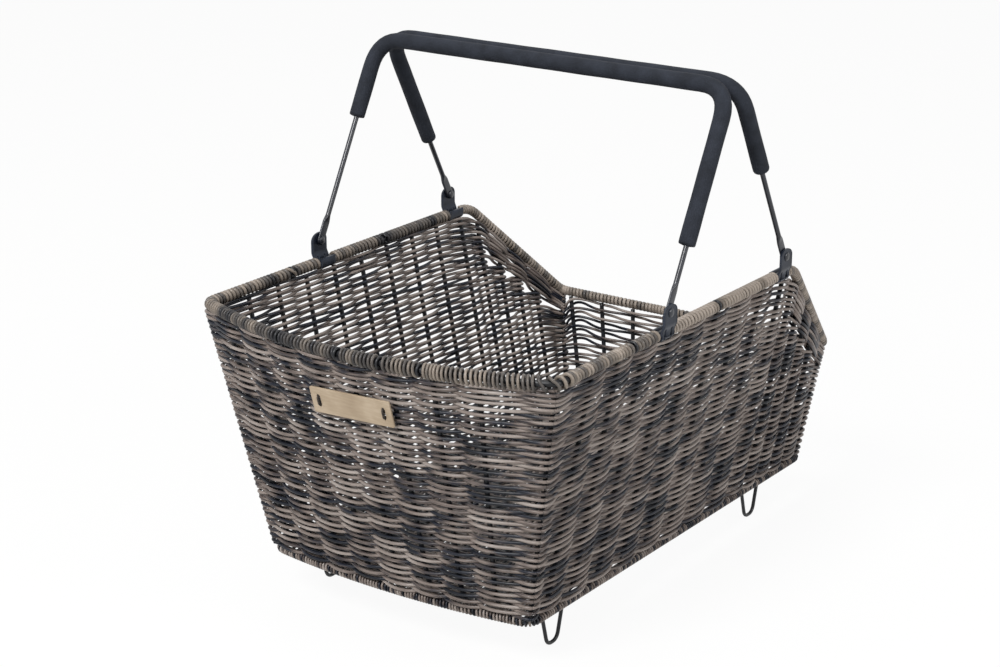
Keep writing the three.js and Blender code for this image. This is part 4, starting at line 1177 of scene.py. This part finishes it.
def hook_leg(x, side, way, curl):
    """Corners of one leg from its curl over the floor wire down to the tip."""
    top = x + way * HOOK_SPREAD / 2
    return [
        ((top, curl, HOOK_END), 0),
        ((top, curl, HOOK_OVER), HOOK_END_REACH),
        ((top, side * HOOK_RISE, HOOK_OVER), HOOK_LEG_REACH),
        ((top, side * HOOK_SIDE, -HOOK_STUB), HOOK_LEG_REACH),
        ((x + way * HOOK_TIP / 2, side * HOOK_SIDE, -HOOK_BOTTOM), HOOK_TIP_REACH),
    ]


for end, x in HOOK_PLACES:
    for label, side, floor_wire in (("right", -1.0, base_y[0]), ("left", 1.0, base_y[-1])):
        curl = floor_wire - side * HOOK_CURL
        line = rounded(hook_leg(x, side, -1.0, curl) + hook_leg(x, side, 1.0, curl)[::-1])
        name = f"hook_{end}_{label}"
        wire(f"carrier_{name}", line, ASKEW, HOOK_RADIUS, [name], HOOK_SPACING)

# %% [markdown]
# ## Painted steel
#
# Brackets, rivets and handle wires are steel under enamel, slate-black on the pressed parts and a deeper
# black on the wires. It is smoother than the polymer coat and shows a fine orange peel, and it varies in the
# same two ways, so the same function makes it.

# %% Black enamel on steel
# The ripple is the enamel's orange peel here, and the wires' coat is the shinier one.
ENAMEL = {"cloud": 15, "detail": 4.0, "grain": 0.9, "relief": 0.05, "sheerest": 0.26}
slate_enamel = coat_finish("slate_black_enamel", "#161a24", "#262d3a", shine=0.2, dullest=0.42, **ENAMEL)
wire_enamel = coat_finish("deep_black_enamel", "#080b13", "#151b28", shine=0.6, dullest=0.32, **ENAMEL)
print(slate_enamel.name, "and", wire_enamel.name, "made")

# %% [markdown]
# ## Brackets
#
# A bracket is one strip of pressed steel that hooks over the rim rod from inside, passes under it and stands
# up outside as a round-topped plate with two slits. It could be cut and folded with booleans. A line of
# points carried across the strip's width is simpler: the slits are quads left out, and Solidify gives the
# sheet its thickness.

# %% Bracket sizes and seats
BRACKET_WIDTH = 18.0
BRACKET_CROWN = 6.5
BRACKET_SHEET = 1.4
BRACKET_DROP = 1.5
BRACKET_LIP = 3.5
BRACKET_JOG = 2.0
BRACKET_JOG_TOP = 6.5
SLIT_SPACING = 8.5
SLIT_WIDTH = 1.3
SLIT_HALF = 3.5
FRONT_START = -1.9
ROD_REACH = 1.2
JOG_REACH = 1.5
BEND_POINTS = 15
CROWN_POINTS = 12
EVEN_COLUMNS = 9
SOFT_EDGE = 0.3
# Room between the clip and the rod, and on either side of the handle's flat end.
PLAY = 0.3
BRACKET_SEATS = [
    (f"{end}_{label}", side, np.array([pivot, side * RIM_WIDTH / 2, RIM_HEIGHT]))
    for end, pivot in (("rear", REAR_PIVOT), ("front", FRONT_PIVOT))
    for label, side in (("right", -1.0), ("left", 1.0))
]
print("seats for", len(BRACKET_SEATS), "brackets")


# %% Sheet with thickness
def add_sheet(name, grid, gone, thickness, body, material, nodes):
    """A sheet from a grid of points (rows, columns, 3): quads where gone is false, given thickness both ways
    by Solidify and soft edges by Bevel."""
    rows, count = grid.shape[:2]
    index = np.arange(rows * count).reshape(rows, count)
    quads = np.stack([index[:-1, :-1], index[:-1, 1:], index[1:, 1:], index[1:, :-1]], axis=-1)
    made = add_mesh(name, grid.reshape(-1, 3), quads[~gone].tolist(), body, material, nodes)
    solidify = made.modifiers.new("thickness", "SOLIDIFY")
    solidify.thickness = thickness * MM
    solidify.offset = 0.0
    bevel = made.modifiers.new("soft_edges", "BEVEL")
    bevel.width = SOFT_EDGE * MM
    bevel.segments = 2
    bevel.limit_method = "ANGLE"
    print(name, len(made.data.polygons), "faces before thickness")


# %% Brackets round the rim rod
def bracket_grid():
    """Clip about the rod: a strip that comes down inside the rod, bends round under it, jogs out and ends in
    a round-topped plate. Rows follow the strip, columns run across it; rows above the pivot narrow to a
    half ellipse. Returns the grid and which quads lie in the two slits."""
    half = RIM_ROD_RADIUS + PLAY + BRACKET_SHEET / 2
    bend = np.linspace(np.pi, 2 * np.pi, BEND_POINTS)
    under = columns(0.0, half * np.cos(bend), half * np.sin(bend) - BRACKET_DROP)
    plate = half + BRACKET_JOG
    strip = np.concatenate([
        [[0.0, -half, BRACKET_LIP]],
        under,
        rounded([
            ((0.0, half, FRONT_START), 0),
            ((0.0, half, RIM_ROD_RADIUS), ROD_REACH),
            ((0.0, plate, BRACKET_JOG_TOP), JOG_REACH),
            ((0.0, plate, PIVOT_RISE), 0),
        ]),
        columns(0.0, plate, PIVOT_RISE + BRACKET_CROWN * np.sin(np.linspace(0.1, 1.55, CROWN_POINTS))),
    ])
    wide = BRACKET_WIDTH / 2
    slit = SLIT_SPACING / 2 + np.array([-SLIT_WIDTH / 2, SLIT_WIDTH / 2])
    edges = np.concatenate([-slit[::-1], slit])
    across = np.sort(np.concatenate([np.linspace(-wide, wide, EVEN_COLUMNS), edges]))
    above = np.clip((strip[:, 2] - PIVOT_RISE) / BRACKET_CROWN, 0.0, 0.999)
    narrowing = np.sqrt(1 - above ** 2)
    grid = np.repeat(strip[:, None], len(across), axis=1)
    grid[:, :, 0] = across * narrowing[:, None]
    middle_x = np.abs((across[:-1] + across[1:]) / 2)
    middle = (strip[:-1] + strip[1:]) / 2
    in_slit = (middle_x > slit[0]) & (middle_x < slit[1])
    in_height = (middle[:, 1] > 0) & (np.abs(middle[:, 2]) < SLIT_HALF)
    return grid, in_height[:, None] & in_slit


bracket, slits = bracket_grid()
for place, side, seat in BRACKET_SEATS:
    turned = bracket * [side, side, 1.0] + seat
    add_sheet(f"clip_bracket_{place}", turned, slits, BRACKET_SHEET, "basket", slate_enamel,
              [f"bracket_{place}"])

# %% [markdown]
# ## Rivets
#
# A rivet with two domed heads holds each end of a handle to its bracket. It is round, so half of its outline
# is turned about its axis, as on a lathe, and each dome is a quarter of an ellipse. The Spin tool could turn
# it too. A grid over outline and angle does it in a few lines.

# %% Rivets
RIVET_STEPS = 24
RIVET_HEAD = 3.5
RIVET_CROWN = 1.3
RIVET_SHANK = 1.75
RIVET_PROUD = 0.1
PADDLE_THIN = 1.0
PLATE_INNER = RIM_ROD_RADIUS + PLAY + BRACKET_JOG
PADDLE_MIDDLE = PLATE_INNER - PLAY - PADDLE_THIN


def lathe(profile, steps):
    """Surface of revolution about Y: (r cos a, y, r sin a) for each profile point (r, y), with its faces."""
    angle = 2 * np.pi * np.arange(steps) / steps
    r = profile[:, :1]
    grid = columns(r * np.cos(angle), profile[:, 1:], r * np.sin(angle))
    index = np.arange(len(profile) * steps).reshape(len(profile), steps)
    beside = np.roll(index, -1, axis=1)
    quads = np.stack([index[1:], beside[1:], beside[:-1], index[:-1]], axis=-1).reshape(-1, 4)
    return grid.reshape(-1, 3), quads.tolist() + [index[0].tolist(), index[-1, ::-1].tolist()]


def rivet_profile():
    """Half outline from the inner crown to the outer crown: two domed heads on a shank."""
    dome = np.linspace(0.08, np.pi / 2, 7)
    inner = PADDLE_MIDDLE - PADDLE_THIN - PLAY
    outer = PLATE_INNER + BRACKET_SHEET + RIVET_PROUD
    low = np.stack([RIVET_HEAD * np.sin(dome), inner - RIVET_CROWN * np.cos(dome)], axis=1)
    high = np.stack([RIVET_HEAD * np.sin(dome), outer + RIVET_CROWN * np.cos(dome)], axis=1)[::-1]
    return np.concatenate([low, [[RIVET_SHANK, inner], [RIVET_SHANK, outer]], high])


rivet, rivet_faces = lathe(rivet_profile(), RIVET_STEPS)
for place, side, seat in BRACKET_SEATS:
    turned = rivet * [side, side, 1.0] + seat + PIVOT_RISE * UP
    add_mesh(f"domed_rivet_{place}", turned, rivet_faces, "basket", wire_enamel,
             [f"rivet_{place}"])
print(len(BRACKET_SEATS), "rivets of", len(rivet_faces), "faces")

# %% [markdown]
# ## Bail handles
#
# Each handle is one wire bent into a square arch. Its ends are hammered flat and pivot on the rivets. The
# wire is drawn upright about its pivot line, with a section that changes from round to flat near the ends,
# and is then leaned: the two handles rest against each other at the top. The ends could be flattened by hand,
# one after another. As functions of the distance from the end, width, thickness and squareness are written
# once and fit all four.

# %% Handle sizes
HANDLE_RADIUS = 171.5
HANDLE_HALF = RIM_WIDTH / 2 + PADDLE_MIDDLE
HANDLE_CORNER = 25.0
HANDLE_WIRE = 2.0
HANDLE_SIDES = 16
HANDLE_SPACING = 0.75
PADDLE_HALF = 3.75
PADDLE_LENGTH = 21.0
PADDLE_SQUARENESS = 5.0
PADDLE_TIP = 0.05
ROUND = 2.0
FLARE_BELOW = 6.0
FLARE_ABOVE = 1.0
GRIP_RADIUS = 6.5
GRIP_GAP = 0.3
HANDLE_LEAN = np.arcsin((FRONT_PIVOT - REAR_PIVOT - 2 * GRIP_RADIUS - GRIP_GAP) / 2 / HANDLE_RADIUS)
# Body, pivot, lean, and how high above the pivot the grip starts on the right and on the left leg.
HANDLES = (
    ("rear_handle", REAR_PIVOT, HANDLE_LEAN, 50.0, 104.0),
    ("front_handle", FRONT_PIVOT, -HANDLE_LEAN, 88.0, 61.0),
)
print("the handles lean by", round(float(np.degrees(HANDLE_LEAN)), 1), "degrees")


# %% Handle wires
def bail_line(right, left, spacing):
    """The arch in its own plane, from a height on the right leg to a height on the left leg."""
    return spaced(rounded([
        ((0.0, -HANDLE_HALF, right), 0),
        ((0.0, -HANDLE_HALF, HANDLE_RADIUS), HANDLE_CORNER),
        ((0.0, HANDLE_HALF, HANDLE_RADIUS), HANDLE_CORNER),
        ((0.0, HANDLE_HALF, left), 0),
    ]), spacing)


def leaned(points, pivot, lean):
    """Points turned about the pivot line: (x cos + z sin, y, z cos - x sin), then moved to the pivot."""
    x = points[..., 0] * np.cos(lean) + points[..., 2] * np.sin(lean)
    z = points[..., 2] * np.cos(lean) - points[..., 0] * np.sin(lean)
    return np.stack([x + pivot, points[..., 1], z + RIM_HEIGHT + PIVOT_RISE], axis=-1)


def smooth_step(value, low, high):
    """0 below low, 1 above high, 3t^2 - 2t^3 between."""
    t = np.clip((value - low) / (high - low), 0.0, 1.0)
    return 3 * t ** 2 - 2 * t ** 3


def handle_wire_rings():
    """Arch with flattened ends: the half width goes from the paddle's to the wire's, the half thickness the
    other way, and the section from nearly square to round. The tip is a half circle."""
    foot = -PADDLE_HALF + PADDLE_TIP
    line = bail_line(foot, foot, HANDLE_SPACING)
    leg = np.minimum(travelled(line), travelled(line[::-1])[::-1]) + foot
    tip = np.sqrt(1 - np.clip(leg / PADDLE_HALF, -1.0, 0.0) ** 2)
    roundness = smooth_step(leg, PADDLE_LENGTH - FLARE_BELOW, PADDLE_LENGTH + FLARE_ABOVE)
    width = (PADDLE_HALF + (HANDLE_WIRE - PADDLE_HALF) * roundness) * tip
    depth = PADDLE_THIN + (HANDLE_WIRE - PADDLE_THIN) * roundness
    squareness = PADDLE_SQUARENESS + (ROUND - PADDLE_SQUARENESS) * roundness
    return skin_rings(line[None], FORWARD, width[None], depth[None], HANDLE_SIDES, squareness[None])


for body, pivot, lean, *grip_ends in HANDLES:
    rings = leaned(handle_wire_rings(), pivot, lean)
    add_tubes(f"{body}_bail", [rings], body, wire_enamel, [f"{body}_wire"])

# %% [markdown]
# ## Foam grips
#
# A sleeve of black closed-cell foam covers the top of each handle and one leg further than the other. Its
# skin is matt with fine open pores, and its ends are rounded off where the sleeve was cut. A cloth simulation
# could swell it, but a tight sleeve on a wire stays round, so a radius that falls off at the ends and wavers
# a little between them is enough.

# %% Closed-cell foam
def foam_finish():
    """Charcoal foam: pores 0.7 mm wide pit the surface, with painted shade darkening the colour in them, and
    clouds 12 mm wide vary it.
    """
    material, tree, surface = new_material("closed_cell_foam")
    place = add_node(tree, "ShaderNodeTexCoord")
    pores = add_node(tree, "ShaderNodeTexVoronoi", {
        "Vector": place.outputs["Object"], "Scale": 1 / (0.7 * MM), "Randomness": 1.0,
    })
    clouds = add_node(tree, "ShaderNodeTexNoise", {
        "Vector": place.outputs["Object"], "Scale": 1 / (12 * MM), "Detail": 4.0,
    })
    # Painted shade: the colour is darker in the pores, where the surface is pitted.
    depth = add_node(tree, "ShaderNodeMath", {
        0: pores.outputs["Distance"], 1: 0.35, 2: clouds.outputs["Fac"],
    }, operation="MULTIPLY_ADD")
    stops = ((0.35, "#14171d"), (0.95, "#2a2e37"))
    colour_and_relief(surface, depth.outputs[0], stops, pores.outputs["Distance"], 0.45, 0.0003, {
        "Roughness": 0.85, "IOR": 1.45, "Specular IOR Level": 0.3,
    })
    return material


foam = foam_finish()
print(foam.name, "made")

# %% Grips on the handles
GRIP_END = 1.6
GRIP_BORE = 2.1
GRIP_WAVE = 0.12
GRIP_WAVE_LENGTHS = (7.3, 17.9)
GRIP_SIDES = 24
GRIP_SPACING = 1.0


def grip_rings(right, left):
    """Sleeve along the arch: radius bore + (full - bore) sqrt(1 - (1 - d / end)^2) near its ends, where d is
    the distance from the end, with a faint waviness of the foam in between."""
    line = bail_line(right, left, GRIP_SPACING)
    along = travelled(line)
    edge = np.clip(np.minimum(along, along[-1] - along) / GRIP_END, 0.0, 1.0)
    short, long = GRIP_WAVE_LENGTHS
    wave = GRIP_WAVE * (np.sin(along / short) + np.sin(along / long + 1.0)) / 2
    full = GRIP_RADIUS - GRIP_WAVE + wave
    radius = GRIP_BORE + (full - GRIP_BORE) * np.sqrt(1 - (1 - edge) ** 2)
    return skin_rings(line[None], FORWARD, radius[None], radius[None], GRIP_SIDES)


for body, pivot, lean, *grip_ends in HANDLES:
    rings = leaned(grip_rings(*grip_ends), pivot, lean)
    grip = add_tubes(f"{body}_foam", [rings], body, foam, [f"{body}_grip"])

# %% [markdown]
# ## Label plate
#
# A tan plate of leatherboard, bare on its face, hangs on the rear wall from two dark ties through its slots.
# It is a grid with the quads of the slots left out. The rows beside a slot's ends are bulged into half
# circles, so the slots are round-ended. Boolean cutters could make the slots, and would leave long thin faces
# round them.

# %% Smooth tan leatherboard
def leatherboard_finish():
    """Tan board: fibres 1.6 mm wide and 12 mm long streak the colour, clouds 25 mm wide stain it."""
    material, tree, surface = new_material("tan_leatherboard")
    place = add_node(tree, "ShaderNodeTexCoord")
    stretch = add_node(tree, "ShaderNodeVectorMath", {
        0: place.outputs["Object"], 1: (1 / (1.6 * MM), 1 / (12 * MM), 1 / (1.6 * MM)),
    }, operation="MULTIPLY")
    fibre = add_node(tree, "ShaderNodeTexNoise", {"Vector": stretch.outputs[0], "Scale": 1.0, "Detail": 4.0})
    clouds = add_node(tree, "ShaderNodeTexNoise", {
        "Vector": place.outputs["Object"], "Scale": 1 / (25 * MM), "Detail": 3.0,
    })
    tone = add_node(tree, "ShaderNodeMath", {
        0: fibre.outputs["Fac"], 1: 0.5, 2: clouds.outputs["Fac"],
    }, operation="MULTIPLY_ADD")
    stops = ((0.45, "#93816a"), (0.75, "#a3917a"), (1.0, "#b1a08a"))
    colour_and_relief(surface, tone.outputs[0], stops, fibre.outputs["Fac"], 0.25, 0.0002, {
        "Roughness": 0.62, "IOR": 1.48,
    })
    return material


leatherboard = leatherboard_finish()
print(leatherboard.name, "made")

# %% Place of the label
LABEL_HALF = 36.75
LABEL_Y = -4.0
LABEL_TILT = np.radians(2.5)
LABEL_RISE = 162.0
LABEL_TALL = 10.75
LABEL_THICK = 1.6
LABEL_CORNER = 1.5
LABEL_OUT = -5.6
SLOT_Y = 29.75
SLOT_RADIUS = 1.4
SLOT_REACH = 3.6
SLOT_MARGIN = 4.0
MIDWAY_LINE = 7.2
SAME = 0.01

label_foot = columns(bowed_x(LABEL_Y, BASE_LENGTH / 2, BASE_BOW, BASE_WIDTH), LABEL_Y, 0.0)
label_head = columns(bowed_x(LABEL_Y, RIM_REAR, RIM_BOW, RIM_WIDTH), LABEL_Y, RIM_HEIGHT)
wall_up = unit(label_head - label_foot)
label_out = np.array([wall_up[2], 0.0, -wall_up[0]])
label_up = np.cos(LABEL_TILT) * wall_up + np.array([0.0, np.sin(LABEL_TILT), 0.0])
label_along = np.array([0.0, np.cos(LABEL_TILT), 0.0]) - np.sin(LABEL_TILT) * wall_up
label_seat = label_foot + (label_head - label_foot) * LABEL_RISE / RIM_HEIGHT
print("label seat, mm:", np.round(label_seat, 1))


def on_label(out, along, up):
    """Points of the label's own frame: out from the wall's middle (negative is outwards), along and up it."""
    return label_seat + sum(
        np.asarray(reach)[..., None] * direction
        for reach, direction in ((out, label_out), (along, label_along), (up, label_up))
    )


# %% Plate
def label_grid():
    """Grid over the plate with lines on the slots' edges; returns the points and the quads of the slots."""
    slot = SLOT_Y + SLOT_RADIUS * np.linspace(-1.0, 1.0, 7)
    y = np.concatenate([
        -np.array([LABEL_HALF, LABEL_HALF - LABEL_CORNER / 2, LABEL_HALF - LABEL_CORNER]), -slot[::-1],
        np.linspace(SLOT_MARGIN - SLOT_Y, SLOT_Y - SLOT_MARGIN, 15), slot,
        np.array([LABEL_HALF - LABEL_CORNER, LABEL_HALF - LABEL_CORNER / 2, LABEL_HALF]),
    ])
    top = np.array([
        SLOT_REACH, MIDWAY_LINE, LABEL_TALL - LABEL_CORNER, LABEL_TALL - LABEL_CORNER / 2, LABEL_TALL,
    ])
    z = np.concatenate([-top[::-1], np.linspace(-SLOT_REACH, SLOT_REACH, 5)[1:-1], top])
    wide, tall = np.meshgrid(y, z)
    inside = np.clip(1 - ((np.abs(wide) - SLOT_Y) / SLOT_RADIUS) ** 2, 0.0, 1.0)
    at_slot_end = np.abs(np.abs(tall) - SLOT_REACH) < SAME
    tall = tall + np.sign(tall) * SLOT_RADIUS * np.sqrt(inside) * at_slot_end
    past_y = np.clip(np.abs(wide) - LABEL_HALF + LABEL_CORNER, 0.0, None)
    past_z = np.clip(np.abs(tall) - LABEL_TALL + LABEL_CORNER, 0.0, None)
    pull = np.maximum(past_y, past_z) / np.maximum(np.hypot(past_y, past_z), 1e-6)
    corner = (past_y > 0) & (past_z > 0)
    wide = np.where(corner, wide - np.sign(wide) * past_y * (1 - pull), wide)
    tall = np.where(corner, tall - np.sign(tall) * past_z * (1 - pull), tall)
    middle_y = np.abs((y[:-1] + y[1:]) / 2)
    middle_z = np.abs((z[:-1] + z[1:]) / 2)
    gone = (middle_z[:, None] < SLOT_REACH) & (np.abs(middle_y - SLOT_Y) < SLOT_RADIUS)
    return on_label(np.full(wide.shape, LABEL_OUT), wide, tall), gone


plate, slots = label_grid()
add_sheet("bare_label", plate, slots, LABEL_THICK, "basket", leatherboard, ["label_plate"])

# %% [markdown]
# ## Label ties
#
# Two short ties of dark waxed cord hold the plate. Each comes out at the foot of a slot, runs up in front of
# it and goes back in at its head: a bent line like the wires, drawn in the label's own frame.

# %% Ties
TIE_RADIUS = 0.8
TIE_CROWN = -7.5
TIE_INNER = -1.5
TIE_BEND = 1.6
TIE_SPACING = 0.6
TIE_PLY = 1.1


def tie_finish():
    """Dark brown waxed cord: a twist of plies a little over 1 mm apart ridges its surface, and painted shade
    darkens the grooves between the plies. The wave node counts 10 radians to each unit of x + y + z."""
    material, tree, surface = new_material("waxed_brown_cord")
    place = add_node(tree, "ShaderNodeTexCoord")
    plies = add_node(tree, "ShaderNodeTexWave", {
        "Vector": place.outputs["Object"], "Scale": np.pi / (10 * TIE_PLY * MM), "Distortion": 1.5,
    }, wave_type="BANDS", bands_direction="DIAGONAL")
    # Painted shade: the colour follows the ridges of the plies and is darkest in the grooves between them.
    stops = ((0.2, "#17130f"), (0.9, "#3a2e25"))
    colour_and_relief(surface, plies.outputs["Fac"], stops, plies.outputs["Fac"], 0.6, 0.0002, {
        "Roughness": 0.6,
    })
    return material


tie_cord = tie_finish()
for label, side in (("right", -1.0), ("left", 1.0)):
    y = side * SLOT_Y
    bend_points = [(TIE_INNER, -SLOT_REACH, 0), (TIE_CROWN, -SLOT_REACH, TIE_BEND),
                   (TIE_CROWN, SLOT_REACH, TIE_BEND), (TIE_INNER, SLOT_REACH, 0)]
    line = rounded([(on_label(out, y, up), reach) for out, up, reach in bend_points])
    rings = skin_rings(spaced(line, TIE_SPACING)[None], LEFT, TIE_RADIUS, TIE_RADIUS, WIRE_SIDES)
    add_tubes(f"cord_label_tie_{label}", [rings], "basket", tie_cord, [f"label_tie_{label}"])
